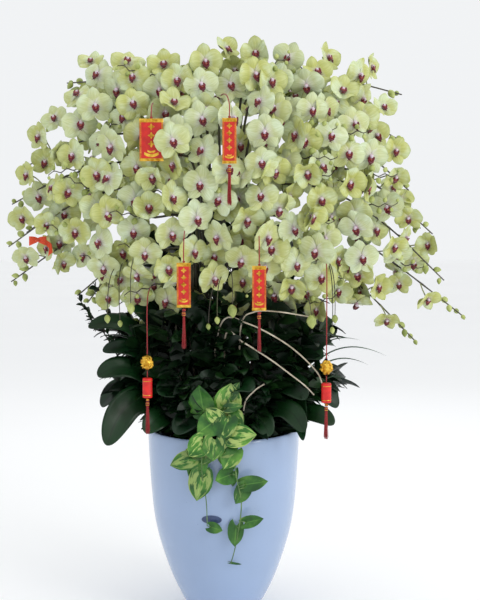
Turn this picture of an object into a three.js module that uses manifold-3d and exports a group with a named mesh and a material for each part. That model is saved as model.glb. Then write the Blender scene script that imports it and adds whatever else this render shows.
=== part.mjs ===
// A tall potted moth-orchid display: two dozen arching flower spikes in one white pot, with dark
// foliage below the flowers, a golden pothos over the rim and red and gold hanging charms.
// Millimetres, +Z up. The origin is the centre of the pot's flat base, and the front faces -Y.
import * as THREE from 'three';
import { mergeVertices } from 'three/addons/utils/BufferGeometryUtils.js';
import Module from 'manifold-3d';

const wasm = await Module();
wasm.setup();

// ---- driving dimensions -----------------------------------------------------------------------
const POT_HEIGHT = 460;
const RIM_RADIUS = 190;
const POT_WALL = 9;
const POT_FLOOR = 12;
const MEDIUM_DROP = 40;
const CLEARANCE = 0.4;
const CANOPY_WIDTH = 1000;
const CANOPY_HEIGHT = 700;
const CANOPY_FRONT = 290;
const CANOPY_BACK = 220;
const CANOPY_LIFT = 615;
const BLOOM_WIDTH = 80;
const STEM_DIAMETER = 7;
const BLOOM_REACH = 36;
const RANK_OFFSET = 30;
const PEDICEL_RADIUS = 2.2;
const CORD_DIAMETER = 2.5;
const LEAF_THICKNESS = 3;

// ---- sizes that follow ------------------------------------------------------------------------
const MEDIUM_TOP = POT_HEIGHT - MEDIUM_DROP;
const STEM_BASE_Z = MEDIUM_TOP + CLEARANCE;
const FOOT_Z = STEM_BASE_Z + 1;
const CANOPY_MIDDLE_Z = POT_HEIGHT + CANOPY_LIFT;
const HALF_WIDTH = CANOPY_WIDTH / 2;
const HALF_HEIGHT = CANOPY_HEIGHT / 2;
const domeDepth = (side) => (side < 0 ? CANOPY_FRONT : CANOPY_BACK);
const UP = new THREE.Vector3(0, 0, 1);

// ---- materials --------------------------------------------------------------------------------
const paint = (color, roughness, metalness = 0) =>
  new THREE.MeshStandardMaterial({ color, roughness, metalness });
const GLAZE = paint(0xdfe8f2, 0.25);
const BARK = paint(0x3a2f24, 0.95);
const FLOWER = paint(0xdfe6a8, 0.6);
const ORCHID_LEAF = paint(0x16301c, 0.35);
const SHRUB_LEAF = paint(0x1d3320, 0.5);
const POTHOS_LEAF = paint(0x5f9a2c, 0.4);
const CANE = paint(0xcfc4b0, 0.7);
const RED = paint(0xc21f1a, 0.6);
const GOLD = paint(0xd9a520, 0.35, 0.8);

// ---- solids -----------------------------------------------------------------------------------
function toSolid(geometry) {
  const bare = geometry.index ? geometry.toNonIndexed() : geometry.clone();
  bare.deleteAttribute('normal');
  bare.deleteAttribute('uv');
  const merged = mergeVertices(bare, 1e-4);
  return new wasm.Manifold(new wasm.Mesh({
    numProp: 3,
    vertProperties: new Float32Array(merged.attributes.position.array),
    triVerts: new Uint32Array(merged.index.array),
  }));
}

function toGeometry(solid) {
  const mesh = solid.getMesh();
  const geometry = new THREE.BufferGeometry();
  geometry.setAttribute('position', new THREE.BufferAttribute(mesh.vertProperties, 3));
  geometry.setIndex(new THREE.BufferAttribute(mesh.triVerts, 1));
  geometry.computeVertexNormals();
  return geometry;
}

const joined = (solids) => wasm.Manifold.union(solids);

// Keeps the piece of a cut solid that reaches lowest, or the largest one.
function mainPiece(solid, byHeight = false) {
  const pieces = solid.decompose();
  const rank = (piece) => (byHeight ? -piece.boundingBox().min[2] : piece.volume());
  return pieces.reduce((best, piece) => (rank(piece) > rank(best) ? piece : best), pieces[0]);
}

function boxesMeet(a, b) {
  const p = a.boundingBox();
  const q = b.boundingBox();
  return [0, 1, 2].every((axis) => p.min[axis] < q.max[axis] && q.min[axis] < p.max[axis]);
}

// Cuts away from a solid whatever the obstacles fill.
function trimmed(solid, obstacles) {
  const near = obstacles.filter((obstacle) => boxesMeet(solid, obstacle));
  if (!near.length) return solid;
  const cutter = joined(near);
  const rest = solid.subtract(cutter);
  cutter.delete();
  return rest;
}

function tube(curve, diameter, sides, steps, grow = 0) {
  const section = new THREE.Shape();
  const radius = diameter / 2 + grow;
  for (let i = 0; i < sides; i += 1) {
    const angle = (i / sides) * Math.PI * 2;
    const x = radius * Math.cos(angle);
    const y = radius * Math.sin(angle);
    if (i === 0) section.moveTo(x, y);
    else section.lineTo(x, y);
  }
  section.closePath();
  return new THREE.ExtrudeGeometry(section, { steps, bevelEnabled: false, extrudePath: curve });
}

const spline = (points) => new THREE.CatmullRomCurve3(points, false, 'catmullrom', 0.5);

function box(width, depth, height, x, y, z, grow = 0) {
  const geometry = new THREE.BoxGeometry(width + 2 * grow, depth + 2 * grow, height + 2 * grow);
  return geometry.translate(x, y, z);
}

function polyhedron(points, faces) {
  const geometry = new THREE.BufferGeometry();
  geometry.setAttribute('position', new THREE.Float32BufferAttribute(points.flat(), 3));
  geometry.setIndex(faces.flat());
  return geometry;
}

// A slim three-sided spike from a wide end at one point to a sharp end at another.
function thorn(from, to, radius) {
  const along = new THREE.Vector3().subVectors(to, from);
  const length = along.length();
  const geometry = new THREE.ConeGeometry(radius, length, 3, 1).translate(0, length / 2, 0);
  const turn = new THREE.Quaternion().setFromUnitVectors(new THREE.Vector3(0, 1, 0), along.normalize());
  return geometry.applyQuaternion(turn).translate(from.x, from.y, from.z);
}

// ---- flower spikes ----------------------------------------------------------------------------
// Each spike rises from `base` in the medium and flowers along a run over the canopy dome.
// start, middle and end are the run's [x, z] from the canopy's middle, in per cent of its half
// width and half height. side is -1 on the front of the dome and 1 behind, and depth is the share
// of the dome's depth that the run keeps.
const spike = (start, middle, end, side, blooms, buds, base, depth = 1) =>
  ({ start, middle, end, side, blooms, buds, base, depth });
// Front spikes stand in two files that open towards the front, the tallest in the middle.
const fileBase = (hand, place) => [hand * (18 + 8 * place), -(10 + 13 * place)];
const SPIKES = [
  spike([-9, 54], [-40, 63], [-77, 69], -1, 7, 3, fileBase(-1, 0)),
  spike([-11, 39], [-46, 46], [-87, 37], -1, 8, 3, fileBase(-1, 1)),
  spike([-12, 21], [-48, 28], [-100, 9], -1, 9, 3, fileBase(-1, 2)),
  spike([-12, 4], [-50, 9], [-105, -16], -1, 9, 3, fileBase(-1, 3)),
  spike([-13, -14], [-52, -9], [-107, -46], -1, 9, 3, fileBase(-1, 4)),
  spike([-14, -33], [-52, -30], [-106, -71], -1, 9, 4, fileBase(-1, 5)),
  spike([-15, -53], [-40, -51], [-68, -86], -1, 6, 3, fileBase(-1, 6)),
  spike([-21, -71], [-32, -73], [-44, -106], -1, 4, 4, [-88, -108]),
  spike([-1, 21], [-2, 54], [-5, 82], -1, 5, 0, [0, 12]),
  spike([2, 7], [4, -37], [-4, -97], -1, 8, 4, [0, -70]),
  spike([9, 54], [40, 67], [88, 61], -1, 8, 2, fileBase(1, 0)),
  spike([11, 39], [44, 46], [86, 26], -1, 8, 2, fileBase(1, 1)),
  spike([12, 21], [47, 28], [89, -7], -1, 8, 2, fileBase(1, 2)),
  spike([12, 4], [50, 9], [104, -37], -1, 9, 3, fileBase(1, 3)),
  spike([13, -14], [53, -11], [110, -70], -1, 10, 3, fileBase(1, 4)),
  spike([14, -33], [57, -36], [121, -97], -1, 10, 4, fileBase(1, 5)),
  spike([15, -53], [48, -54], [97, -115], -1, 8, 4, fileBase(1, 6)),
  spike([21, -71], [32, -72], [44, -101], -1, 4, 4, [88, -108]),
  spike([-10, 54], [-42, 60], [-80, 40], 1, 8, 2, [-20, 45], 0.5),
  spike([-11, 7], [-54, 6], [-98, -36], 1, 9, 2, [-38, 68]),
  spike([-10, -44], [-40, -46], [-73, -81], 1, 7, 2, [-56, 92]),
  spike([10, 54], [42, 60], [80, 40], 1, 8, 2, [20, 45], 0.5),
  spike([11, 7], [54, 6], [98, -33], 1, 9, 2, [38, 68]),
  spike([10, -44], [39, -46], [68, -76], 1, 7, 2, [56, 92]),
];

// The run's point at t from 0 to 1: a parabola in x and z, laid on the dome just under the blooms.
function runPoint(row, t) {
  const weights = [(1 - t) * (1 - 2 * t), 4 * t * (1 - t), t * (2 * t - 1)];
  const [across, up] = [0, 1].map((axis) => 0.01 * (
    weights[0] * row.start[axis] + weights[1] * row.middle[axis] + weights[2] * row.end[axis]));
  const inside = Math.sqrt(Math.max(1 - across ** 2 - up ** 2, 0.02));
  const y = row.side * row.depth * (domeDepth(row.side) * inside - BLOOM_REACH);
  return new THREE.Vector3(across * HALF_WIDTH, y, CANOPY_MIDDLE_Z + up * HALF_HEIGHT);
}

function stemCurve(row) {
  const [x, y] = row.base;
  const start = runPoint(row, 0);
  const halfway = (STEM_BASE_Z + start.z) / 2;
  return spline([
    new THREE.Vector3(x, y, STEM_BASE_Z),
    new THREE.Vector3(x * 1.3, y * 1.2, halfway),
    start,
    ...[0.25, 0.5, 0.75, 1].map((t) => runPoint(row, t)),
  ]);
}

// The flowering run is the last four of the stem curve's six stretches.
const onRun = (t) => (2 + 4 * t) / 6;

function domeNormal(point) {
  return new THREE.Vector3(
    point.x / HALF_WIDTH ** 2,
    point.y / domeDepth(point.y) ** 2,
    (point.z - CANOPY_MIDDLE_Z) / HALF_HEIGHT ** 2,
  ).normalize();
}

// Blooms look outwards from the dome, and mostly to the front, or to the back behind it.
function blossomFacing(point, side) {
  const facing = domeNormal(point).multiplyScalar(0.62);
  facing.y += 0.85 * side;
  facing.z -= 0.05;
  return facing.normalize();
}

function layOutBlooms() {
  const blooms = [];
  SPIKES.forEach((row, index) => {
    const flowered = row.buds ? 0.9 : 1;
    for (let k = 0; k < row.blooms; k += 1) {
      const u = onRun(((k + 0.35) / row.blooms) * flowered);
      const root = curves[index].getPoint(u);
      const ahead = curves[index].getPoint(u + 0.01).sub(root).normalize();
      const out = domeNormal(root);
      const across = new THREE.Vector3().crossVectors(out, ahead).normalize();
      const home = root.clone().addScaledVector(out, BLOOM_REACH);
      home.addScaledVector(across, k % 2 ? RANK_OFFSET : -RANK_OFFSET);
      blooms.push({ index, k, root, home, place: home.clone(), side: row.side });
    }
  });
  // Neighbours push each other apart until their faces just overlap, as crowded blooms do.
  const spacing = 0.93 * BLOOM_WIDTH;
  for (let round = 0; round < 80; round += 1) {
    blooms.forEach((bloom) => { bloom.facing = blossomFacing(bloom.place, bloom.side); });
    blooms.forEach((bloom) => {
      bloom.move = bloom.home.clone().sub(bloom.place).multiplyScalar(0.03);
      blooms.forEach((other) => {
        if (other === bloom) return;
        const apart = bloom.place.clone().sub(other.place);
        if (apart.length() > spacing) return;
        const look = bloom.facing.clone().add(other.facing).normalize();
        apart.addScaledVector(look, 2.2 * apart.dot(look));
        const gap = apart.length();
        if (gap < spacing) bloom.move.addScaledVector(apart, ((spacing - gap) * 0.25) / gap);
      });
    });
    blooms.forEach((bloom) => { bloom.place.add(bloom.move); });
  }
  blooms.forEach((bloom) => { bloom.facing = blossomFacing(bloom.place, bloom.side); });
  return blooms;
}

// A stem's solid has straight stretches between these points.
const STEM_STEPS = 20;
const curves = SPIKES.map(stemCurve);
const stemLines = curves.map((curve) => curve.getSpacedPoints(STEM_STEPS));

// The nearest place to a point on the middle line of a stem's solid.
function ontoStem(point, index) {
  let nearest = stemLines[index][0].clone();
  for (let i = 0; i < STEM_STEPS; i += 1) {
    const stretch = new THREE.Line3(stemLines[index][i], stemLines[index][i + 1]);
    const place = stretch.closestPointToPoint(point, true, new THREE.Vector3());
    if (place.distanceTo(point) < nearest.distanceTo(point)) nearest = place;
  }
  return nearest;
}

// The outline of a bloom, as [angle in degrees, share of the half width]: two broad petals, an
// upper sepal and two lower ones, with the notches between them.
const BLOOM_OUTLINE = [
  [-6, 0.98], [28, 1], [60, 0.6], [90, 0.96], [120, 0.6], [152, 1], [186, 0.98],
  [236, 0.9], [270, 0.42], [304, 0.9],
];
const NECK_SIDES = 3;

// A bloom is a thin dished star whose back narrows to a stalk that ends inside the stem.
function bloomGeometry(bloom, grow = 0) {
  const half = BLOOM_WIDTH / 2;
  const rims = grow ? [grow, -grow] : [0];
  const count = BLOOM_OUTLINE.length;
  const right = new THREE.Vector3().crossVectors(UP, bloom.facing).normalize();
  const up = new THREE.Vector3().crossVectors(bloom.facing, right);
  const frame = new THREE.Matrix4().makeBasis(right, up, bloom.facing).setPosition(bloom.place);
  const points = [[0, 0, -1 + grow]];
  rims.forEach((z) => {
    BLOOM_OUTLINE.forEach(([angle, share]) => {
      const a = THREE.MathUtils.degToRad(angle);
      const r = share * half + grow;
      points.push([r * Math.cos(a), r * Math.sin(a), z]);
    });
  });
  for (let i = 0; i < NECK_SIDES; i += 1) {
    const a = ((i + 0.5) / NECK_SIDES) * Math.PI * 2;
    const r = PEDICEL_RADIUS + grow;
    points.push([r * Math.cos(a), r * Math.sin(a), -8 - grow]);
  }
  const stalkEnd = ontoStem(bloom.root, bloom.index);
  points.push(stalkEnd.applyMatrix4(frame.clone().invert()).toArray());
  const back = 1 + (rims.length - 1) * count;
  const neck = 1 + rims.length * count;
  const end = neck + NECK_SIDES;
  const faces = [];
  for (let i = 0; i < count; i += 1) {
    const j = (i + 1) % count;
    const n = neck + Math.floor((i * NECK_SIDES) / count);
    const m = neck + Math.floor((j * NECK_SIDES) / count);
    faces.push([0, 1 + i, 1 + j], [back + j, back + i, n]);
    if (n !== m) faces.push([back + j, n, m]);
    if (grow) faces.push([1 + i, back + i, back + j], [1 + i, back + j, 1 + j]);
  }
  for (let i = 0; i < NECK_SIDES; i += 1) {
    faces.push([neck + ((i + 1) % NECK_SIDES), neck + i, end]);
  }
  return polyhedron(points, faces).applyMatrix4(frame);
}

// Buds shrink towards the spike's tip, on alternating sides of it.
function budsOf(row, index) {
  const buds = [];
  const curve = curves[index];
  for (let k = 0; k < row.buds; k += 1) {
    const u = onRun(row.buds === 1 ? 1 : 0.91 + (0.09 * (k + 0.6)) / row.buds);
    const root = curve.getPoint(u);
    const out = domeNormal(root);
    const ahead = curve.getPoint(Math.min(u, 0.99) + 0.01).sub(curve.getPoint(Math.min(u, 0.99)));
    const across = new THREE.Vector3().crossVectors(out, ahead.normalize()).normalize();
    const radius = 9.5 - (5 * k) / row.buds;
    const place = ontoStem(root, index).addScaledVector(across, (k % 2 ? 1 : -1) * radius * 0.6);
    buds.push({ place, radius });
  }
  return buds;
}

function budGeometry(bud, grow = 0) {
  const geometry = new THREE.OctahedronGeometry(bud.radius + grow * 1.8);
  return geometry.scale(1, 1, 1.25).translate(bud.place.x, bud.place.y, bud.place.z);
}

const blooms = layOutBlooms();

function spikeStem(index, grow = 0) {
  return toSolid(tube(curves[index], STEM_DIAMETER, 3, STEM_STEPS, grow));
}

function spikeFlowers(index, grow = 0) {
  const solids = [];
  blooms.filter((bloom) => bloom.index === index).forEach((bloom) => {
    solids.push(toSolid(bloomGeometry(bloom, grow)));
    if (grow) {
      const neck = bloom.place.clone().addScaledVector(bloom.facing, -4);
      solids.push(toSolid(thorn(neck, ontoStem(bloom.root, index), PEDICEL_RADIUS + 2 * grow)));
    }
  });
  budsOf(SPIKES[index], index).forEach((bud) => {
    solids.push(toSolid(budGeometry(bud, grow)));
  });
  return joined(solids);
}

// ---- pot and medium ---------------------------------------------------------------------------
// The pot's outside, as [share of the height, share of the rim radius].
const POT_SIDE = [
  [0, 0.43], [0.035, 0.5], [0.1, 0.59], [0.2, 0.7], [0.33, 0.81], [0.46, 0.895],
  [0.6, 0.945], [0.79, 0.98], [0.975, 1],
];

function potRadius(z) {
  const share = z / POT_HEIGHT;
  const top = POT_SIDE.findIndex(([height]) => height >= share);
  if (top <= 0) return RIM_RADIUS * POT_SIDE[top === 0 ? 0 : POT_SIDE.length - 1][1];
  const [lowHeight, low] = POT_SIDE[top - 1];
  const [highHeight, high] = POT_SIDE[top];
  return RIM_RADIUS * (low + ((high - low) * (share - lowHeight)) / (highHeight - lowHeight));
}

const outside = POT_SIDE.map(([height, radius]) =>
  new THREE.Vector2(radius * RIM_RADIUS, height * POT_HEIGHT));
const wallHeights = POT_SIDE.map(([height]) => height * POT_HEIGHT).filter((z) => z > POT_FLOOR);
const inside = wallHeights.map((z) => new THREE.Vector2(potRadius(z) - POT_WALL, z)).reverse();
const floorRadius = potRadius(POT_FLOOR) - POT_WALL;

function lathe(profile) {
  return new THREE.LatheGeometry(profile, 24).rotateX(Math.PI / 2);
}

const pot = lathe([
  new THREE.Vector2(0, 0),
  ...outside,
  new THREE.Vector2(RIM_RADIUS - POT_WALL * 0.3, POT_HEIGHT),
  new THREE.Vector2(RIM_RADIUS - POT_WALL * 0.75, POT_HEIGHT),
  ...inside,
  new THREE.Vector2(floorRadius, POT_FLOOR),
  new THREE.Vector2(0, POT_FLOOR),
]);

const mediumHeights = [POT_FLOOR + CLEARANCE, ...wallHeights.filter((z) => z < MEDIUM_TOP), MEDIUM_TOP];
const medium = lathe([
  new THREE.Vector2(0, POT_FLOOR + CLEARANCE),
  ...mediumHeights.map((z) => new THREE.Vector2(potRadius(z) - POT_WALL - CLEARANCE, z)),
  new THREE.Vector2(0, MEDIUM_TOP),
]);

// ---- leaves -----------------------------------------------------------------------------------
// A flat blade along a bent midrib. `shape` lists the share of the full width at even steps, and
// `roll` turns the blade about its midrib.
function blade(curve, width, shape, roll, grow = 0) {
  const steps = shape.length - 1;
  const points = [];
  shape.forEach((share, i) => {
    const at = i / steps;
    const middle = curve.getPoint(at);
    const along = curve.getTangent(at);
    middle.addScaledVector(along, i === 0 ? -grow : (i === steps ? grow : 0));
    const across = new THREE.Vector3().crossVectors(along, UP).normalize();
    const normal = new THREE.Vector3().crossVectors(across, along).normalize();
    across.applyAxisAngle(along, roll);
    normal.applyAxisAngle(along, roll);
    const half = (share * width) / 2 + grow;
    const thick = LEAF_THICKNESS / 2 + grow;
    [[-1, 1], [1, 1], [1, -1], [-1, -1]].forEach(([side, face]) => {
      const corner = middle.clone().addScaledVector(across, side * half);
      corner.addScaledVector(normal, face * thick);
      points.push(corner.toArray());
    });
  });
  const faces = [];
  for (let i = 0; i < steps; i += 1) {
    for (let j = 0; j < 4; j += 1) {
      const a = i * 4 + j;
      const b = i * 4 + ((j + 1) % 4);
      faces.push([a, b, b + 4], [a, b + 4, a + 4]);
    }
  }
  const end = steps * 4;
  faces.push([0, 2, 1], [0, 3, 2], [end, end + 1, end + 2], [end, end + 2, end + 3]);
  return polyhedron(points, faces);
}

const vec = (x, y, z) => new THREE.Vector3(x, y, z);
// Places of the lower foliage and the charms are given by their height above the rim.
const overRim = ([x, y, z]) => vec(x, y, POT_HEIGHT + z);
const bend = (a, b, c) => new THREE.QuadraticBezierCurve3(a, b, c);

const STRAP = [0.45, 0.9, 1, 0.4];
// Each leaf is [crown pull x, y, z] then [tip x, y, z], its width and its roll in degrees.
const ROSETTES = {
  orchid_leaves_left: {
    crown: [-108, -52],
    leaves: [
      [[-165, -80, 330], [-318, -120, 262], 44, 20],
      [[-160, -120, 260], [-280, -150, 208], 40, 25],
      [[-190, -130, 230], [-290, -165, 138], 46, 35],
      [[-215, -150, 190], [-262, -215, -8], 62, 50],
      [[-230, -60, 180], [-300, -60, 60], 56, 20],
      [[-130, -150, 100], [-180, -190, 20], 52, 35],
      [[-210, 40, 180], [-290, 90, 40], 58, -10],
    ],
  },
  orchid_leaves_front: {
    crown: [48, -128],
    leaves: [
      [[75, -160, 100], [110, -196, 14], 50, -30],
      [[-60, -150, 100], [-110, -190, 18], 54, 35],
      [[140, -150, 140], [190, -205, 26], 50, -35],
      [[20, -170, 180], [70, -215, 100], 46, -20],
    ],
  },
  orchid_leaves_right: {
    crown: [112, -36],
    leaves: [
      [[190, -110, 180], [186, -180, 2], 54, -55],
      [[200, -60, 180], [280, -70, 60], 54, -15],
      [[210, 40, 190], [290, 80, 50], 56, 10],
      [[170, -100, 260], [230, -150, 190], 42, -30],
      [[190, -130, 100], [262, -150, 40], 40, -40],
    ],
  },
  orchid_leaves_back: {
    crown: [60, 122],
    leaves: [
      [[100, 190, 180], [130, 270, 40], 58, 20],
      [[-10, 210, 220], [-110, 262, 60], 58, -20],
      [[150, 150, 200], [230, 210, 60], 56, 15],
      [[60, 200, 140], [40, 280, 20], 54, 0],
    ],
  },
};

function rosette({ crown, leaves }, grow = 0) {
  const [x, y] = crown;
  const solids = [toSolid(new THREE.CylinderGeometry(9 + grow, 9 + grow, 30, 6)
    .rotateX(Math.PI / 2).translate(x, y, STEM_BASE_Z + 15))];
  leaves.forEach(([pull, tip, width, roll]) => {
    const midrib = bend(vec(x, y, STEM_BASE_Z + 18), overRim(pull), overRim(tip));
    solids.push(toSolid(blade(midrib, width, STRAP, THREE.MathUtils.degToRad(roll), grow)));
  });
  return joined(solids);
}

// ---- filler shrubs ----------------------------------------------------------------------------
// Dark woody branches fan out from one foot under the flowers, each with leaves in pairs.
const SHRUBS = {
  filler_shrub_left: { foot: [-78, 8], from: 95, to: 275, branches: 6 },
  filler_shrub_right: { foot: [82, 14], from: -95, to: 85, branches: 6 },
};

function shrubBranches({ foot, from, to, branches }) {
  const [x, y] = foot;
  const rows = [];
  for (let k = 0; k < branches; k += 1) {
    const angle = THREE.MathUtils.degToRad(from + ((to - from) * (k + 0.5)) / branches);
    const reach = k % 2 ? 150 : 215;
    const rise = k % 2 ? 330 : 240;
    const tip = vec(x + reach * Math.cos(angle), y + reach * Math.sin(angle) * 0.9, MEDIUM_TOP + rise);
    const pull = vec(x + reach * 0.35 * Math.cos(angle), y + reach * 0.35 * Math.sin(angle),
      MEDIUM_TOP + rise * 0.75);
    rows.push(bend(vec(x, y, STEM_BASE_Z + 2), pull, tip));
  }
  return rows;
}

// A small pointed leaf: a kite with its broadest place near the middle.
function kite(root, tip, width, grow = 0) {
  const along = new THREE.Vector3().subVectors(tip, root);
  const middle = root.clone().addScaledVector(along, 0.5);
  along.normalize();
  const across = new THREE.Vector3().crossVectors(along, UP).normalize();
  const normal = new THREE.Vector3().crossVectors(across, along);
  const half = width / 2 + grow;
  const thick = LEAF_THICKNESS / 2 + grow;
  const points = [
    root.clone(), middle.clone().addScaledVector(across, half), tip.clone().addScaledVector(along, grow),
    middle.clone().addScaledVector(across, -half),
    middle.clone().addScaledVector(normal, thick), middle.clone().addScaledVector(normal, -thick),
  ].map((point) => point.toArray());
  return polyhedron(points, [
    [0, 1, 4], [1, 2, 4], [2, 3, 4], [3, 0, 4], [1, 0, 5], [2, 1, 5], [3, 2, 5], [0, 3, 5],
  ]);
}

function shrub(row, grow = 0) {
  const [x, y] = row.foot;
  const solids = [toSolid(new THREE.CylinderGeometry(8 + grow, 8 + grow, 26, 6)
    .rotateX(Math.PI / 2).translate(x, y, STEM_BASE_Z + 13))];
  shrubBranches(row).forEach((branch, b) => {
    solids.push(toSolid(tube(branch, 5, 3, 6, grow)));
    for (let k = 0; k < 4; k += 1) {
      const at = 0.52 + k * 0.15;
      const ahead = branch.getTangent(at);
      const turn = b * 1.1 + k * 2.4;
      const side = vec(Math.cos(turn), Math.sin(turn), 0.15);
      const dir = side.multiplyScalar(0.8).addScaledVector(ahead, 0.55).normalize();
      const root = branch.getPoint(at).addScaledVector(dir, -4);
      const tip = root.clone().addScaledVector(dir, 62);
      tip.z -= 12;
      solids.push(toSolid(kite(root, tip, 27, grow)));
    }
  });
  return joined(solids);
}

// ---- grass tuft -------------------------------------------------------------------------------
const GRASS = [
  [[210, -70, 280], [390, -130, 195], 8],
  [[210, -90, 240], [345, -150, 176], 8],
  [[190, -60, 270], [330, -110, 230], 7],
  [[250, -70, 190], [302, -130, 130], 6],
];

// The grass and the canes have their feet on the medium, at places drawn for a rim of this radius.
const DRAWN_RIM = 190;
const footing = (x, y, z) => vec((x * RIM_RADIUS) / DRAWN_RIM, (y * RIM_RADIUS) / DRAWN_RIM, z);

function grassTuft(grow = 0) {
  const foot = footing(128, -84, STEM_BASE_Z + 6);
  const solids = [toSolid(new THREE.CylinderGeometry(6 + grow, 6 + grow, 16, 6)
    .rotateX(Math.PI / 2).translate(foot.x, foot.y, STEM_BASE_Z + 8))];
  GRASS.forEach(([pull, tip, width]) => {
    const rib = bend(foot, overRim(pull), overRim(tip));
    solids.push(toSolid(blade(rib, width, [0.8, 1, 1, 0.3], 0.5, grow)));
  });
  return joined(solids);
}

// ---- pothos -----------------------------------------------------------------------------------
// Each vine runs over the rim and down the pot. Its stem's points are [x, how far out from the
// rim's edge, height above the rim]. A leaf is its middle [x, height above the rim], how far its
// middle stands out from the pot, the angle it points at (0 is +X, 90 is up), length and width.
const VINES = {
  pothos_vine_1: {
    stem: [[-24, -54], [-20, -26, 32], [-12, 18, 18], [-20, 32, -30]],
    leaves: [
      [-50, 100, -6, 100, 78, 62], [-4, 85, -10, 70, 76, 62], [-36, 39, 18, 215, 66, 56],
      [3, 34, 24, 250, 60, 54], [49, 21, 30, 5, 72, 52], [-20, -14, 30, 265, 60, 50],
    ],
  },
  pothos_vine_2: {
    stem: [[-48, -58], [-48, -26, 30], [-46, 16, 14], [-48, 22, -60], [-38, 14, -132], [-36, 12, -188]],
    leaves: [
      [-95, -41, 22, 195, 66, 44], [-61, -11, 26, 225, 58, 50], [-54, -98, 26, 260, 76, 54],
      [-64, -62, 20, 245, 56, 44], [-17, -183, 14, -25, 34, 26],
    ],
  },
  pothos_vine_3: {
    stem: [[8, -52], [12, -24, 30], [20, 16, 14], [33, 22, -75], [44, 16, -132], [39, 10, -190],
      [28, 2, -247], [19, -8, -281]],
    leaves: [
      [15, -36, 26, 240, 60, 46], [78, -89, 20, 10, 62, 36], [42, -117, 22, 240, 50, 36],
      [74, -176, 18, 15, 50, 30], [30, -213, 16, 265, 54, 36],
    ],
  },
};
const HEART = [0.55, 1, 0.7, 0.08];

function vine({ stem, leaves }, grow = 0) {
  const curve = spline(stem.map(([x, out, height]) =>
    vec(x, -(RIM_RADIUS + out), height === undefined ? FOOT_Z : POT_HEIGHT + height)));
  const solids = [toSolid(tube(curve, 4, 4, stem.length * 2, grow))];
  leaves.forEach(([x, height, out, angle, length, width]) => {
    const z = POT_HEIGHT + height;
    const y = -(potRadius(Math.min(z, POT_HEIGHT)) + out);
    const a = THREE.MathUtils.degToRad(angle);
    const dir = vec(Math.cos(a), -0.12, Math.sin(a)).multiplyScalar(length / 2);
    const middle = vec(x, y, z);
    const heel = middle.clone().sub(dir);
    const tip = middle.clone().add(dir);
    tip.y += 5;
    const rib = bend(heel, vec(x, y - 8, z), tip);
    const level = vec(Math.cos(a), 0, Math.sin(a)).cross(UP).length();
    const roll = level < 0.2 ? 0 : Math.PI / 2 - 0.35;
    solids.push(toSolid(blade(rib, width, HEART, Math.abs(Math.cos(a)) > 0.35 ? roll : 0.2, grow)));
    let near = curve.getPoint(0);
    for (let i = 1; i <= 40; i += 1) {
      const point = curve.getPoint(i / 40);
      if (point.distanceTo(heel) < near.distanceTo(heel)) near = point;
    }
    solids.push(toSolid(thorn(near, heel.clone().lerp(middle, 0.25), 1.6 + grow)));
  });
  return joined(solids);
}

// ---- arching canes ----------------------------------------------------------------------------
// A cane's first point is its foot on the medium.
const CANES = {
  arching_cane_1: [[-8, -98, -39], [-22, -138, 140], [0, -185, 282], [62, -205, 278], [150, -222, 232],
    [214, -228, 174], [232, -222, 138]],
  arching_cane_2: [[12, -104, -39], [6, -140, 110], [8, -180, 252], [50, -200, 234], [112, -214, 196],
    [156, -222, 164], [190, -226, 138], [212, -226, 116]],
  arching_cane_3: [[32, -98, -39], [38, -140, 140], [44, -190, 275], [72, -210, 306], [126, -220, 308],
    [212, -214, 294]],
  arching_cane_4: [[74, -134, -39], [52, -150, 30], [52, -178, 88], [74, -192, 120], [98, -200, 138]],
};

function cane(points, grow = 0) {
  const curve = spline(points.map(overRim));
  curve.points[0].copy(footing(points[0][0], points[0][1], FOOT_Z));
  return toSolid(tube(curve, 4, 5, points.length * 2, grow));
}

// ---- hanging charms ---------------------------------------------------------------------------
// Each string starts at a stem, runs forward over the blooms and drops straight to what hangs on
// it. Heights are above the rim. The pieces on a string follow each other down its upright line,
// each a simple body with a small gap to the next.
const BANNER = { width: 31, height: 98, thickness: 1.6, tassel: 92 };
const BANNERS = {
  banner_1: [[-7, -221, 792], [2, -255, 797], [12, -296, 789], [18, -324, 766], [18, -330, 737]],
  banner_2: [[-82, -239, 497], [-82, -275, 497], [-82, -310, 480], [-82, -330, 446], [-82, -330, 424]],
  banner_3: [[83, -239, 497], [83, -275, 497], [83, -308, 479], [83, -326, 442], [83, -326, 417]],
};
const ENVELOPE = { width: 52, height: 92, thickness: 2 };
const ENVELOPE_STRING = [[-150, -215, 771], [-151, -255, 777], [-152, -295, 769], [-152, -318, 748],
  [-152, -318, 737]];
const CHARM = { nugget: 38, link: 16, firecracker: 46, firecrackerWidth: 23, tassel: 85 };
const CHARMS = {
  charm_left: [[-160, -144, 359], [-166, -180, 363], [-170, -218, 347], [-171, -236, 310],
    [-171, -236, 260], [-171, -236, 212]],
  charm_right: [[240, -170, 425], [239, -205, 429], [238, -238, 409], [238, -246, 365],
    [238, -246, 285], [238, -246, 202]],
};

function cord(points, grow = 0) {
  const route = spline(points.map(overRim));
  return tube(route, CORD_DIAMETER, 8, Math.ceil(route.getLength() / (3 * CORD_DIAMETER)), grow);
}

function tassel(x, y, top, length, grow = 0) {
  const profile = [
    [0, 0], [1.6, 0], [4.4, -8], [4.2, -16], [6, -length], [0, -length],
  ].map(([r, z]) => new THREE.Vector2(r ? r + grow : 0, z + (z === 0 ? grow : 0) - (z <= -length ? grow : 0)));
  return new THREE.LatheGeometry(profile.reverse(), 6).rotateX(Math.PI / 2).translate(x, y, top);
}

const ornaments = [];
const hang = (name, geometry, material, grown) => ornaments.push({ name, geometry, material, grown });

function hangCord(name, points) {
  hang(name, cord(points), RED, cord(points, CLEARANCE));
  const [x, y, height] = points[points.length - 1];
  return { x, y, top: POT_HEIGHT + height - CLEARANCE };
}

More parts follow.
